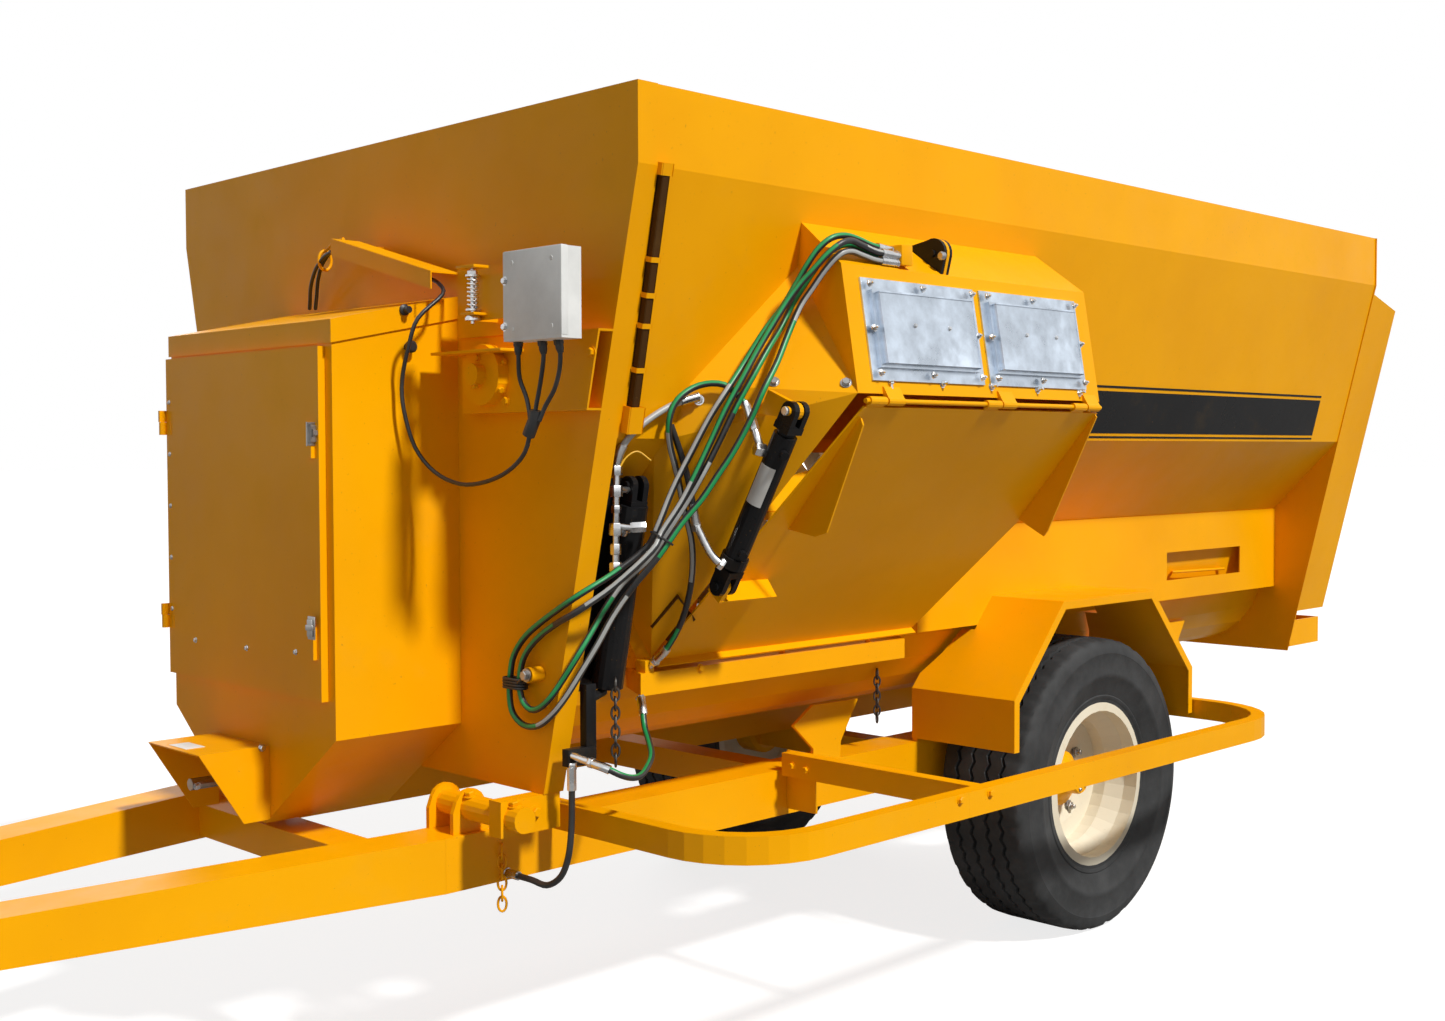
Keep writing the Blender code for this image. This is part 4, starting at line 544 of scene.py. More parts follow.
LOWER_PORT = seat(724, 566)[0]
LOWER_START = between(LOWER_PORT, LOWER_PORT, [(696, 524)])[1]
STACK_PLACES = [(616, 452), (626, 438), (640, 425), (655, 414), (670, 405), (685, 399)]
LOWER_PLACES = [(693, 508), (691, 490), (687, 472), (682, 456), (676, 440)]
paths["stack_hose"] = drawn_path(STACK_TOP, (699, 397), 0.016, STACK_PLACES)
paths["lower_port_hose"] = drawn_path(LOWER_START, (668, 424), 0.012, LOWER_PLACES)


def add_crimp(bm, path, first, nut):
    """The crimped ferrule round a hose's first or last end and the swivel nut ahead of it."""
    line = path if first else path[::-1]
    run, points = 0.0, [line[0]]
    for a, b in zip(line, line[1:]):
        run += (b - a).length
        points.append(b)
        if run > FERRULE_LENGTH:
            break
    add_sweep(bm, points, HOSE_R * 1.42, 16)
    add_sweep(bm, [points[0], points[0] + (points[1] - points[0]) * 0.3], HOSE_R * 1.58, 16)
    back = (line[0] - line[1]).normalized()
    add_nut(bm, line[0] - back * 0.002, line[0] + back * nut, HOSE_R * 1.65)


# Printed line along a hose: where it starts, length of one repeat, share up to which it is green,
# share up to which it is grey, and the strip of the hose's 16 sides that it lies on
PRINTS = {"loop_hose_outer": 0.0, "loop_hose_inner": 0.8, "port_hose": 0.3, "manifold_hose": 0.2}
PRINT_REPEAT = 1.35
GREEN_TO = 0.56
GREY_TO = 0.90
PRINT_STRIP = (0, 1, 15)
PORT_HOSES = ("port_hose", "lower_port_hose")
HOSES_TO_FITTING = ("manifold_hose", "supply_hose")


def make_cords():
    made = {}
    for name, path in paths.items():
        hose = "hose" in name
        radius = HOSE_R if hose else CABLE_R
        start = PRINTS.get(name)
        run = [0.0]
        for a, b in zip(path, path[1:]):
            run.append(run[-1] + (b - a).length)

        def index_of(i, side):
            """Green print, then grey print, then none."""
            if start is None or side not in PRINT_STRIP:
                return 0
            turn = (run[i] / PRINT_REPEAT + start) % 1.0
            if turn < GREEN_TO:
                return 1
            return 2 if turn < GREY_TO else 0

        bm = bmesh.new()
        add_sweep(bm, path, radius, 16 if hose else 12, index_of=index_of)
        finishes = [HOSE_RUBBER, GREEN_PRINT, GREY_PRINT] if start is not None else [HOSE_RUBBER]
        if name == "stack_hose":
            finishes = [GREY_PRINT]
        body = None if name in PORT_HOSES else "chassis_and_tank"
        made[name] = piece(name, bm, finishes, body=body)
        end = []
        if name in HOSES_TO_FITTING:
            bm = bmesh.new()
            add_crimp(bm, path, False, nut=0.012)
            end = [piece(name + "_end", bm, ZINC)]
    return made


cords = make_cords()
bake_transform(cords["port_hose"])
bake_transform(cords["lower_port_hose"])


# Hose ends and fittings

# Hose, whether at its first end, and reach of its swivel nut
CRIMPS = (
    ("manifold_hose", True, 0.004), ("port_hose", False, 0.014), ("stack_hose", True, 0.004),
    ("stack_hose", False, 0.001), ("supply_hose", True, 0.001),
    ("loop_hose_outer", True, 0.001), ("loop_hose_outer", False, 0.001),
    ("loop_hose_inner", True, 0.001), ("loop_hose_inner", False, 0.001))
# Share of the stack's height, radius and length of each of its nuts
STACK_NUTS = (
    (0.0, 0.017, 0.026), (0.16, 0.015, 0.030), (0.34, 0.019, 0.034), (0.55, 0.014, 0.020),
    (0.70, 0.018, 0.030), (0.90, 0.017, 0.026))
TIE_HEIGHT = 1.572
ABOVE_TIE = 1.672


def make_fittings():
    """Hose ends, elbows, and the upright stack of tees beside the gate cylinder."""
    bm = bmesh.new()
    for name, first, nut in CRIMPS:
        add_crimp(bm, paths[name], first, nut)
    add_bend(bm, [paths["port_hose"][-1], at(-.375, .850, 1.190), at(-.3735, .836, 1.178)], 0.0105)
    add_bend(bm, [paths["manifold_hose"][-1], at(-.034, .930, .972), at(-.028, .886, .979)], 0.0105)
    add_sweep(bm, [STACK_FOOT, STACK_TOP], 0.0095, 16)
    for share, radius, span in STACK_NUTS:
        start = STACK_FOOT.lerp(STACK_TOP, share)
        add_nut(bm, start, start + Vector((0, 0, span)), radius)
    for z in (1.590, 1.700):
        add_rod(bm, at(-.100, 1.009, z), at(-.150, 1.000, z), 0.010)
    add_nut(bm, at(-.118, 1.006, 1.590), at(-.136, 1.003, 1.590), 0.017)
    branch = [at(-.100, 1.010, 1.605), at(-.128, 1.035, 1.600), at(-.160, 1.062, 1.602)]
    add_bend(bm, branch, 0.0095)
    add_nut(bm, branch[1], branch[2], 0.016)
    piece("hose_fittings", bm, ZINC)


def make_port_elbows():
    """The elbows on the door cylinder's two ports."""
    bm = bmesh.new()
    add_crimp(bm, paths["port_hose"], True, nut=0.030)
    add_bend(bm, [at(-.393, 1.233, 1.889), at(-.396, 1.244, 1.862), at(-.396, 1.254, 1.838),
                  at(-.402, 1.262, 1.812)], 0.0115)
    add_nut(bm, at(-.385, 1.254, 1.812), at(-.412, 1.266, 1.806), 0.020)
    add_crimp(bm, paths["lower_port_hose"], True, nut=0.020)
    bend = between(LOWER_PORT, LOWER_START, [(716, 560), (708, 549)])
    add_bend(bm, bend, 0.0115)
    add_nut(bm, bend[0], bend[0].lerp(bend[1], 0.6), 0.018)
    piece("barrel_elbow", bm, ZINC, body="door_cylinder_barrel")


def make_blocks():
    """The manifold at the sill, the port hose's block and the loops' block on the roof."""
    bm = bmesh.new()
    add_box(bm, MACHINE, (-.118, .874, .957), (-.082, .902, 1.165), 0.002)
    add_box(bm, MACHINE, (-.112, .876, .945), (-.016, .904, .993), 0.002)
    add_rod(bm, at(-.100, .888, 1.12), at(-.170, .872, 1.135), 0.013)
    piece("hose_manifold", bm, BLACK)
    bm = bmesh.new()
    add_box(bm, MACHINE, (-.385, .806, 1.157), (-.350, .848, 1.201), 0.002)
    add_box(bm, MACHINE, (-.905, 1.318, 2.334), (-.8553, 1.384, 2.392), 0.003)
    add_rod(bm, at(.001, .805, 1.195), at(.045, .805, 1.195), 0.022)
    piece("hose_blocks", bm, YELLOW)


def make_clip():
    """The rubber clip round both loops, its arm and bolt, and the tie where the loops cross."""
    bm = bmesh.new()
    strap = []
    for k in range(24):
        angle = math.tau * (k + 0.5) / 24
        side = 0.0235 if math.cos(angle) > 0 else -0.0235
        strap.append(at(.030 + .0175 * math.sin(angle), .7305 + .0175 * math.cos(angle) + side, 1.165))
    for lift in (-0.012, -0.004, 0.004, 0.012):
        add_sweep(bm, [p + Vector((0, 0, lift)) for p in strap + strap[:1]], 0.0042, 8)
    add_sweep(bm, [at(.047, .762, 1.168), at(.050, .785, 1.182), at(.049, .812, 1.196)], 0.0045, 8)
    here, ahead = loops_at(TIE_HEIGHT), loops_at(ABOVE_TIE)
    along = sum(ahead, Vector()) / len(ahead) - sum(here, Vector()) / len(here)
    add_sweep(bm, tie_round(here, along), 0.0032, 8)
    piece("hose_clip", bm, BLACK_PLASTIC)
    bm = bmesh.new()
    add_bolt(bm, at(.049, .805, 1.195), (1, 0, 0), 0.026)
    piece("clip_bolt", bm, STEEL)


def loops_at(z):
    """Where the two loops pass a height, away from the tank."""
    return [a.lerp(b, (z - a.z) / (b.z - a.z))
            for name in ("loop_hose_outer", "loop_hose_inner")
            for a, b in zip(paths[name], paths[name][1:])
            if (a.z - z) * (b.z - z) < 0 and a.y > at(0, 1.0, 0).y]


def tie_round(points, along):
    """A closed band round points, a hose's radius and a little off their hull."""
    middle = sum(points, Vector()) / len(points)
    place = frame_at(middle, along)
    back = place.inverted()
    flat = [back @ p for p in points]
    out = []
    for k in range(40):
        angle = math.tau * k / 40
        way = Vector((math.cos(angle), math.sin(angle), 0))
        far = max(flat, key=lambda p: p.dot(way))
        out.append(place @ (Vector((far.x, far.y, 0)) + way * (HOSE_R + 0.0034)))
    return out + out[:1]


make_fittings()
make_port_elbows()
make_blocks()
make_clip()


# Tyres with their tread

AXLE = at(-2.5, 0.0, 0.5485)
TREAD_R = 0.5485
TYRE_MIDDLE = 1.045 - 0.375 / 2
SEAT_R = 0.2863
ZIGZAGS = 58
GROOVES = (-0.096, -0.034, 0.034, 0.096)


def tyre_rows():
    """(radius, offset across, share of the zigzag) from one bead over the tread to the other."""
    side = [(SEAT_R, 0.112), (SEAT_R, 0.142), (0.300, 0.1515), (0.318, 0.1545), (0.322, 0.158),
            (0.332, 0.160), (0.336, 0.1575), (0.372, 0.172), (0.400, 0.181), (0.404, 0.1835),
            (0.418, 0.1855), (0.422, 0.1840), (0.460, 0.1850), (0.490, 0.1820), (0.494, 0.1835),
            (0.500, 0.1825), (0.512, 0.1790), (0.528, 0.1730)]
    rows = [(r, -y, 0.0) for r, y in side]
    rows += [(0.5405, -0.163, 0.0), (TREAD_R - 0.003, -0.150, 0.3)]
    for middle in GROOVES:
        rows += [(TREAD_R, middle - 0.0075, 1.0), (TREAD_R - 0.0145, middle - 0.0035, 1.0),
                 (TREAD_R - 0.0145, middle + 0.0035, 1.0), (TREAD_R, middle + 0.0075, 1.0)]
    rows += [(TREAD_R - 0.003, 0.150, 0.3), (0.5405, 0.163, 0.0)]
    rows += [(r, y, 0.0) for r, y in reversed(side)]
    rows += [(0.345, 0.148, 0.0), (0.490, 0.150, 0.0), (0.515, 0.120, 0.0)]
    rows += [(0.515, -0.120, 0.0), (0.490, -0.150, 0.0), (0.345, -0.148, 0.0)]
    return rows


def make_tyre(side, sign):
    bm = bmesh.new()
    rows, count = tyre_rows(), ZIGZAGS * 4
    loops = []
    for k in range(count):
        angle = math.tau * k / count
        zig = (0.0, 1.0, 0.0, -1.0)[k % 4] * 0.0068
        notch = 0.006 if k % 8 in (2, 3) else 0.0
        loop = []
        for radius, offset, share in rows:
            r = radius - (notch if 0.14 < abs(offset) < 0.170 and radius > 0.53 else 0.0)
            y = sign * (TYRE_MIDDLE + offset + zig * share)
            loop.append(bm.verts.new(AXLE + Vector((r * math.cos(angle), y, r * math.sin(angle)))))
        loops.append(loop)
    for k in range(count):
        near, far = loops[k], loops[(k + 1) % count]
        for i in range(len(rows)):
            j = (i + 1) % len(rows)
            bm.faces.new((near[i], near[j], far[j], far[i]))
    item = piece("tread_" + side, bm, RUBBER, body="wheel_" + side, smooth=30)
    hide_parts("tyre_" + side)


def add_ring(bm, sign, count, radius, face, across, first=0.0, stud=0.0):
    """A ring of bolts on a wheel's outer side. first is a share of the step between two."""
    for k in range(count):
        angle = math.tau * (k + first) / count
        place = AXLE + Vector((radius * math.cos(angle), sign * face, radius * math.sin(angle)))
        add_bolt(bm, place, (0, sign, 0), across, spin=angle, stud=stud)


def make_wheel_details(side, sign):
    """Wheel nuts, the hub cap's bolts and the valve."""
    bm = bmesh.new()
    add_ring(bm, sign, 8, radius=0.148, face=0.8275, across=0.032, first=0.25, stud=0.032)
    add_ring(bm, sign, 5, radius=0.031, face=0.940, across=0.012)
    piece("wheel_nuts_" + side, bm, STEEL, body="wheel_" + side)
    bm = bmesh.new()
    foot = AXLE + Vector((0.240, sign * 0.900, 0.035))
    bend = [foot, foot + Vector((0.004, sign * 0.03, 0)), foot + Vector((-0.01, sign * 0.062, 0))]
    add_bend(bm, bend, 0.0045, 10)
    piece("tyre_valve_" + side, bm, DARK_STEEL, body="wheel_" + side)


for tyre_side, tyre_sign in SIDES:
    make_tyre(tyre_side, tyre_sign)
    make_wheel_details(tyre_side, tyre_sign)


# Paint band along the tank's side

def add_band(bm, start, end, foot, top, sign):
    """A thin film that lies on the tank's side."""
    columns, grid = 24, []
    for lift in (0.0002, 0.0016):
        grid.append([[bm.verts.new(side_point(start + (end - start) * i / columns, z, lift, sign))
                      for z in (foot, (foot + top) / 2, top)] for i in range(columns + 1)])
    inner, outer = grid
    for i in range(columns):
        for k in range(2):
            bm.faces.new((outer[i][k], outer[i + 1][k], outer[i + 1][k + 1], outer[i][k + 1]))
            bm.faces.new((inner[i][k], inner[i][k + 1], inner[i + 1][k + 1], inner[i + 1][k]))
        for k in (0, 2):
            bm.faces.new((inner[i][k], inner[i + 1][k], outer[i + 1][k], outer[i][k]))
    for i in (0, columns):
        for k in range(2):
            bm.faces.new((inner[i][k], outer[i][k], outer[i][k + 1], inner[i][k + 1]))


BAND_REAR = -4.18
BAND_FRONT = {"left": -1.90, "right": -0.60}
# Foot and top of the broad band and of the fine lines above and below it
BAND_LINES = ((1.868, 2.022), (2.034, 2.042), (1.850, 1.857))
for band_side, band_sign in SIDES:
    film = bmesh.new()
    for foot_z, top_z in BAND_LINES:
        add_band(film, BAND_FRONT[band_side], BAND_REAR, foot_z, top_z, band_sign)
    piece("stripe_" + band_side, film, BLACK)


# Bolts and nuts, each on the face that shows at its place in the picture

def bolts(name, places, across, finish, body="chassis_and_tank", stud=0.0):
    """One piece of bolts. across is their width over flats."""
    bm = bmesh.new()
    for index, (u, v) in enumerate(places):
        add_bolt(bm, *seat(u, v), across, spin=0.4 + 0.7 * index, stud=stud)
    piece(name, bm, finish, body=body)


HOOD_STUDS = [(891, 381), (942, 384), (991, 387), (1037, 390), (1079, 393)]
bolts("hood_studs", HOOD_STUDS, 0.017, ZINC, stud=0.024)
bolts("hood_bolts", [(846, 383), (774, 382)], 0.022, STEEL)
FRONT_BOLTS = [(507, 401), (524, 702), (546, 705), (592, 352)]
BEARING_BOLTS = [(478, 358), (503, 362), (500, 389), (475, 385)]
SILL_BOLTS = [(782, 653), (700, 668), (868, 642)]
CABINET_SCREWS = [(196, 640), (247, 648), (296, 652)]
GUARD_BOLTS = [(792, 766), (806, 770), (960, 800), (990, 793)]
RAIL_BOLTS = [(470, 796), (515, 806), (535, 812)]
bolts("front_bolts", FRONT_BOLTS, 0.020, YELLOW)
bolts("bearing_bolts", BEARING_BOLTS, 0.017, YELLOW)
bolts("sill_bolts", SILL_BOLTS, 0.018, YELLOW)
bolts("cabinet_screws", CABINET_SCREWS, 0.012, ZINC, body="cabinet_door")
bolts("guard_bolts", GUARD_BOLTS, 0.020, YELLOW)
bolts("shield_bolts", [(197, 786), (262, 748)], 0.016, ZINC)
bolts("rail_bolts", RAIL_BOLTS, 0.026, YELLOW)


# Magnet covers on the hood's face

FACE_TOP, FACE_FOOT = Vector((0, 1.376, 2.320)), Vector((0, 1.437, 1.963))
FACE_UP = (FACE_TOP - FACE_FOOT).normalized()
FACE_OUT = Vector((0, FACE_UP.z, -FACE_UP.y))
FACE_MIDDLE = (FACE_TOP + FACE_FOOT) / 2
MAGNETS_X = (-0.925, -1.475)
COVER_HALF = (0.215, 0.100)
COVER_TOP = 0.011
COVER_BOLTS = [(a, b) for b in (0.126, -0.126) for a in (-0.235, 0.0, 0.235)] + [(-0.240, 0.0), (0.240, 0.0)]


def make_magnets():
    cover, nuts = bmesh.new(), bmesh.new()
    wide, high = COVER_HALF
    for x in MAGNETS_X:
        middle = at(*(FACE_MIDDLE + Vector((x, 0, 0))))
        start = strike(middle + FACE_OUT * 0.2, -FACE_OUT)[0]
        place = frame_at(start, FACE_OUT, FACE_UP)
        add_box(cover, place, (-wide, -high, 0.0002), (wide, high, COVER_TOP), 0.003)
        for a, b in COVER_BOLTS:
            add_bolt(nuts, place @ Vector((a, b, 0)), FACE_OUT, 0.015, spin=a * 9 + b, stud=0.015)
        for a in (-0.07, 0.09):
            add_bolt(nuts, place @ Vector((a, 0.012, COVER_TOP)), FACE_OUT, 0.010, spin=a * 7)
    piece("magnet_covers", cover, GALVANISED)
    piece("magnet_bolts", nuts, ZINC)


make_magnets()


# Cabinet: latches, blank sticker on the shield, knob and bushing, rivets, ring for the feed cables

LATCHES = ((312, 434), (312, 628))
STICKER = (187, 746)
KNOB = (407, 347)
BUSHING = (404, 310)
RIVETS_Y = -0.470
RIVETS_Z = (1.32, 1.48, 1.64, 1.80, 1.96)


def make_cabinet():
    bm = bmesh.new()
    for u, v in LATCHES:
        place = frame_at(*seat(u, v))
        add_box(bm, place, (-0.018, -0.032, 0.0), (0.018, 0.032, 0.003), 0.001)
        add_box(bm, place, (-0.012, -0.024, 0.003), (0.012, 0.024, 0.010), 0.003)
        add_box(bm, place, (-0.008, -0.006, 0.010), (0.030, 0.010, 0.017), 0.003)
    piece("door_latches", bm, STEEL, body="cabinet_door")
    bm = bmesh.new()
    place = frame_at(*seat(*STICKER), (1, 0, 0))
    add_box(bm, place, (-0.052, -0.030, 0.0), (0.052, 0.030, 0.0012), 0.0004)
    piece("blank_sticker", bm, WHITE_PLASTIC)
    bm = bmesh.new()
    add_cap(bm, *seat(*KNOB), [(0.011, 0), (0.011, 0.010), (0.017, 0.014), (0.017, 0.026), (0.012, 0.031)])
    add_cap(bm, *seat(*BUSHING), [(0.016, 0), (0.016, 0.006), (0.010, 0.010), (0.010, 0.026)])
    piece("cabinet_bushings", bm, BLACK_PLASTIC)
    bm = bmesh.new()
    for z in RIVETS_Z:
        place = frame_at(*strike(at(1.5, RIVETS_Y, z), Vector((-1, 0, 0))))
        add_turned(bm, place, [(0, 0), (0.008, 0), (0.006, 0.003), (0, 0.004)], 12)
    piece("door_rivets", bm, STEEL, body="cabinet_door")
    bm = bmesh.new()
    turns = [math.tau * k / 24 for k in range(25)]
    add_sweep(bm, [at(0.070 + 0.022 * math.sin(a), -0.165, 2.402 + 0.030 * math.cos(a)) for a in turns],
              0.005, 10)
    add_sweep(bm, [at(0.070, -0.165, 2.430), at(0.085, -0.100, 2.445), at(0.100, -0.010, 2.452)], 0.005, 10)
    piece("cable_ring", bm, YELLOW)


make_cabinet()


# Weighing indicator: lid with screws, glands

def make_indicator():
    low, high = [Vector(corner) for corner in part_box("indicator")]
    bm = bmesh.new()
    middle = (low + high) / 2
    half = (high - low) / 2
    lid = half.x * 0.30
    add_box(bm, Matrix.Translation(middle), (lid, -half.y - 0.002, -half.z + 0.006),
            (half.x + 0.0015, half.y + 0.002, half.z + 0.002), 0.005)
    for y in (-0.080, 0.080):
        for z in (-0.085, 0.085):
            screw = middle + Vector((half.x + 0.001, y, z))
            add_cap(bm, screw, (1, 0, 0), [(0.007, 0), (0.006, 0.002)], 14)
    piece("indicator_lid", bm, WHITE_PLASTIC)
    bm = bmesh.new()
    for name, first in (("display_cable", False), ("lead_middle", True), ("lead_right", True)):
        path = paths[name] if first else paths[name][::-1]
        start, ahead = path[0], (path[2] - path[0]).normalized()
        add_nut(bm, start - ahead * 0.004, start + ahead * 0.010, 0.013)
        add_cap(bm, start, ahead, [(0.011, 0.0), (0.011, 0.020), (0.0075, 0.032)], 16)
    add_bend(bm, [at(.148, .979, 1.912), at(.148, .973, 1.890), at(.150, .962, 1.868),
                  at(.150, .950, 1.848)], 0.017)
    piece("indicator_glands", bm, BLACK_PLASTIC)


make_indicator()


# Spring bolt beside the indicator, on its shelf

CARRIER = (480, 298)
CARRIER_BOLTS = ((505, 281), (505, 327))
SPRING_TURNS = 8
SPRING_STEPS = 14


def make_spring():
    carrier = seat(*CARRIER)[0]
    top = Vector((carrier.x + 0.024, carrier.y, at(0, 0, 2.300).z))
    foot = top - Vector((0, 0, 0.150))
    down = foot - top
    bm = bmesh.new()
    add_rod(bm, top, foot, 0.006)
    wire = []
    for k in range(SPRING_TURNS * SPRING_STEPS + 1):
        share = k / (SPRING_TURNS * SPRING_STEPS)
        angle = math.tau * SPRING_TURNS * share
        off = Vector((0.0135 * math.cos(angle), 0.0135 * math.sin(angle), 0))
        wire.append(top.lerp(foot, 0.14 + 0.60 * share) + off)
    add_sweep(bm, wire, 0.0027, 8)
    add_nut(bm, top.lerp(foot, 0.05), top.lerp(foot, 0.13), 0.014)
    for share in (0.74, 0.13):
        add_cap(bm, top.lerp(foot, share), down, [(0.020, 0), (0.020, 0.005)], 20)
    add_cap(bm, top.lerp(foot, 0.80), down, [(0.012, 0), (0.022, 0.016), (0.022, 0.022)], 20)
    for u, v in CARRIER_BOLTS:
        add_bolt(bm, *seat(u, v), 0.016)
    piece("spring_bolt", bm, ZINC)
    bm = bmesh.new()
    shelf = carrier - SHIFT
    add_box(bm, MACHINE, (shelf.x, shelf.y - .040, 2.297), (shelf.x + .050, shelf.y + .040, 2.305), 0.001)
    add_box(bm, MACHINE, (shelf.x, shelf.y - .030, 2.172), (shelf.x + .044, shelf.y + .030, 2.179), 0.001)
    add_box(bm, MACHINE, (.0008, .484, 2.076), (.130, .806, 2.084), 0.001)
    piece("spring_shelf", bm, YELLOW)


make_spring()


# Level strip on the tank's front corner, with its marks and end blocks

STRIP_TOP = Vector((661, 172))
STRIP_FOOT = Vector((630, 408))
STRIP_LIFT = 0.012
MARK_SHARES = (0.36, 0.51, 0.64, 0.83, 1.0)


def make_strip():
    bm, marks = bmesh.new(), bmesh.new()
    line = [seat(*STRIP_TOP.lerp(STRIP_FOOT, k / 12)) for k in range(13)]
    normal = sum((face for _, face in line), Vector()).normalized()
    first, last = line[0][0] + normal * STRIP_LIFT, line[-1][0] + normal * STRIP_LIFT
    place = frame_at((first + last) / 2, normal, first - last)
    half = (first - last).length / 2
    add_box(bm, place, (-0.011, -half, -0.012), (0.011, half, 0.010), 0.002)
    for share in MARK_SHARES:
        y = half - 2 * half * share
        add_box(marks, place, (-0.016, y - 0.006, -0.008), (0.016, y + 0.006, 0.013), 0.001)
    add_box(marks, place, (-0.024, -half - 0.062, -0.012), (0.026, -half + 0.004, 0.018), 0.003)
    add_box(marks, place, (-0.018, half - 0.004, -0.012), (0.018, half + 0.022, 0.012), 0.003)
    piece("level_strip", bm, BROWN)
    piece("level_marks", marks, YELLOW)


make_strip()


# Door cylinder: pin heads and blank label. Stay: pin head

CYLINDER_TOP = at(-.430, 1.362, 1.912)
CYLINDER_ALONG = Vector((0, -0.493, -0.870)).normalized()
LABEL_FROM = 0.165
LABEL_TO = 0.285
LABEL_RADII = (0.0342, 0.0350)
LABEL_ANGLE = 0.75
LABEL_STEPS = 10
STAY_PIN = (943, 256)


def make_cylinder_details():
    bm = bmesh.new()
    for sign in (1, -1):
        side = strike(CYLINDER_TOP + Vector((sign * 0.3, 0, 0)), Vector((-sign, 0, 0)))
        add_cap(bm, *side, [(0.0125, 0), (0.0125, 0.006), (0.010, 0.009)])
    piece("cylinder_pin", bm, ZINC, body="door_cylinder_barrel")
    bm = bmesh.new()
    facing = Vector((1.0, 0.35, 0.0))
    facing = (facing - CYLINDER_ALONG * facing.dot(CYLINDER_ALONG)).normalized()
    other = CYLINDER_ALONG.cross(facing)
    angles = [-LABEL_ANGLE + 2 * LABEL_ANGLE * k / LABEL_STEPS for k in range(LABEL_STEPS + 1)]
    rows = []
    for distance in (LABEL_FROM, LABEL_TO):
        middle = CYLINDER_TOP + CYLINDER_ALONG * distance
        rows.append([[bm.verts.new(middle + r * (math.cos(a) * facing + math.sin(a) * other)) for a in angles]
                     for r in LABEL_RADII])
    (low_in, low_out), (high_in, high_out) = rows
    for k in range(LABEL_STEPS):
        bm.faces.new((low_out[k], low_out[k + 1], high_out[k + 1], high_out[k]))
        bm.faces.new((low_in[k], high_in[k], high_in[k + 1], low_in[k + 1]))
        bm.faces.new((low_in[k], low_in[k + 1], low_out[k + 1], low_out[k]))
        bm.faces.new((high_in[k], high_out[k], high_out[k + 1], high_in[k + 1]))
    for k in (0, LABEL_STEPS):
        bm.faces.new((low_in[k], low_out[k], high_out[k], high_in[k]))
    piece("cylinder_label", bm, PAPER, body="door_cylinder_barrel")
    bm = bmesh.new()
    add_cap(bm, *seat(*STAY_PIN), [(0.013, 0), (0.013, 0.010), (0.009, 0.014)])
    piece("stay_pin_head", bm, STEEL)
    bolts("plate_bolts", [(699, 400)], 0.020, ZINC)


make_cylinder_details()


# Hatch handle, flap, tie, tag and chains

def add_chain(bm, start, end, pitch, wire, wide):
    """Links in a straight line, every other one turned a quarter."""
    along = (end - start).normalized()
    half = pitch * 0.72
    for k in range(int((end - start).length / pitch)):
        place = frame_at(start + along * ((k + 0.5) * pitch), along, (0.6, 0.8, 0.1))
        loop = []
        for i in range(16):
            angle = math.tau * i / 16
            s = wide * math.cos(angle)
            h = half * math.sin(angle)
            loop.append(place @ (Vector((s, 0, h)) if k % 2 else Vector((0, s, h))))
        add_sweep(bm, loop + loop[:1], wire, 6)


CHAIN_HOOK = (875, 668)
HANDLE_ENDS = ((1172, 572), (1216, 569))
FLAP_CORNERS = ((677, 594), (694, 618), (666, 640), (650, 626))
DOWN = Vector((0, 0, -1))


def make_chains():
    bm = bmesh.new()
    point, normal = seat(*CHAIN_HOOK)
    start = point + normal * 0.012
    for top, end in ((at(-.150, .945, 1.175), at(-.150, .945, .930)), (start, start + DOWN * 0.19)):
        add_chain(bm, top, end, pitch=0.026, wire=0.0034, wide=0.011)
    piece("chains", bm, DARK_STEEL)
    bm = bmesh.new()
    start = at(.012, .640, .690)
    add_chain(bm, start, start + DOWN * 0.21, pitch=0.030, wire=0.0036, wide=0.012)
    piece("safety_chain", bm, YELLOW)


def make_small_parts():
    """Hatch handle, rubber flap, cable tie and tag on the stack."""
    bm = bmesh.new()
    front, rear = [seat(u, v)[0] for u, v in HANDLE_ENDS]
    reach = Vector((0, 1, 0.1)) * 0.03
    add_sweep(bm, smooth_path([front, front + reach, rear + reach, rear], 6), 0.006, 12)
    piece("hatch_handle", bm, YELLOW)
    bm = bmesh.new()
    corners = [seat(u, v) for u, v in FLAP_CORNERS]
    normal = (corners[0][1] + corners[2][1]).normalized()
    inner, outer = [[bm.verts.new(point + normal * lift) for point, _ in corners] for lift in (0.001, 0.014)]
    bm.faces.new(outer)
    bm.faces.new(list(reversed(inner)))
    for i in range(4):
        j = (i + 1) % 4
        bm.faces.new((inner[i], inner[j], outer[j], outer[i]))
    piece("flap", bm, BROWN)
    bm = bmesh.new()
    strand = ((0, 0.012, -0.01), (-0.02, 0.018, 0.02), (-0.05, 0.030, 0.035), (-0.08, 0.050, 0.010))
    add_bend(bm, [STACK_TOP + Vector(p) for p in strand], 0.0025, 8)
    piece("yellow_tie", bm, TIE)
    bm = bmesh.new()
    place = frame_at(STACK_TOP + Vector((0.004, 0.010, 0.050)), (0.8, 0.6, 0))
    add_box(bm, place, (-0.011, -0.016, 0), (0.011, 0.016, 0.002))
    piece("red_tag", bm, RED)


make_chains()
make_small_parts()


# Stage

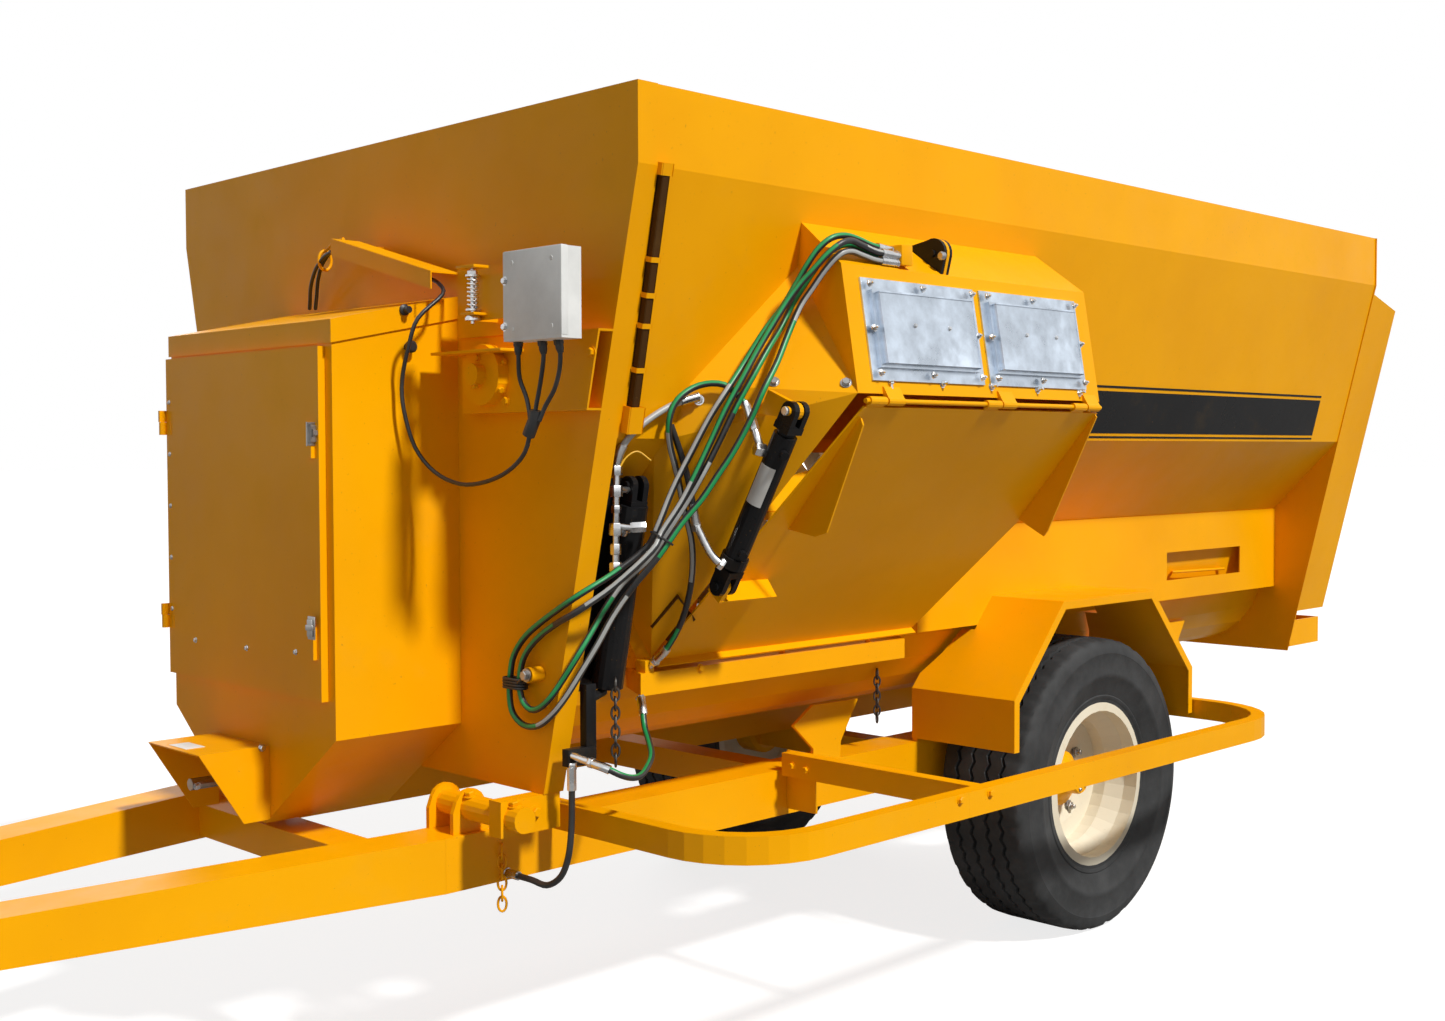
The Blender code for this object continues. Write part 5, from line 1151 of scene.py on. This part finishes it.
def make_stage():
    made, tree, shader = new_material("floor")
    grey = (0.34, 0.34, 0.34, 1.0)
    set_inputs(shader, {"Base Color": grey, "Roughness": 0.9, "Specular IOR Level": 0.0})
    glow = add_node(tree, "Emission", {"Strength": 0.80})
    both = add_node(tree, "AddShader")
    tree.links.new(shader.outputs["BSDF"], both.inputs[0])
    tree.links.new(glow.outputs["Emission"], both.inputs[1])
    rays = add_node(tree, "LightPath")
    choice = add_node(tree, "MixShader")
    tree.links.new(rays.outputs["Is Camera Ray"], choice.inputs["Fac"])
    tree.links.new(shader.outputs["BSDF"], choice.inputs[1])
    tree.links.new(both.outputs["Shader"], choice.inputs[2])
    output = tree.nodes["Material Output"]
    tree.links.new(choice.outputs["Shader"], output.inputs["Surface"])
    bm = bmesh.new()
    bmesh.ops.create_grid(bm, x_segments=1, y_segments=1, size=150.0)
    mesh = bpy.data.meshes.new("floor")
    bm.to_mesh(mesh)
    bm.free()
    mesh.materials.append(made)
    floor = new_object("floor", mesh)
    floor.location = (0, 0, -0.001)


def make_light():
    scene = bpy.context.scene
    scene.view_settings.view_transform = "Standard"
    world = bpy.data.worlds.new("studio")
    scene.world = world
    world.use_nodes = True
    tree = world.node_tree
    back = tree.nodes["Background"]
    back.inputs["Color"].default_value = (1.0, 1.0, 1.0, 1.0)
    # The background is white where it is seen, straight or in a mirror, and dim as a light
    rays = add_node(tree, "LightPath")
    seen = rays.outputs["Is Camera Ray"]
    for kind in ("Is Transmission Ray", "Is Glossy Ray"):
        either = add_node(tree, "Math", operation="MAXIMUM")
        tree.links.new(seen, either.inputs[0])
        tree.links.new(rays.outputs[kind], either.inputs[1])
        seen = either.outputs["Value"]
    tree.links.new(value_range(tree, seen, 0.0, 1.0, 0.13, 1.0), back.inputs["Strength"])
    data = bpy.data.lights.new("key", "SUN")
    data.energy = 3.6
    data.angle = math.radians(5.0)
    data.color = (1.0, 0.985, 0.95)
    item = new_object("key", data)
    item.rotation_euler = Vector((-0.02, 0.69, 0.72)).to_track_quat("Z", "Y").to_euler()
    add_area("fill", (9.0, 4.0, 5.0), (0.5, 0.0, 1.2), 45.0)
    add_area("rim", (-4.0, -8.0, 7.0), (0.0, 0.0, 1.2), 260.0)


def add_area(name, place, aim, power):
    data = bpy.data.lights.new(name, "AREA")
    data.shape = "RECTANGLE"
    data.size = 6.0
    data.size_y = 5.0
    data.energy = power
    item = new_object(name, data)
    item.location = place
    item.rotation_euler = (Vector(aim) - Vector(place)).to_track_quat("-Z", "Y").to_euler()


make_stage()
make_light()
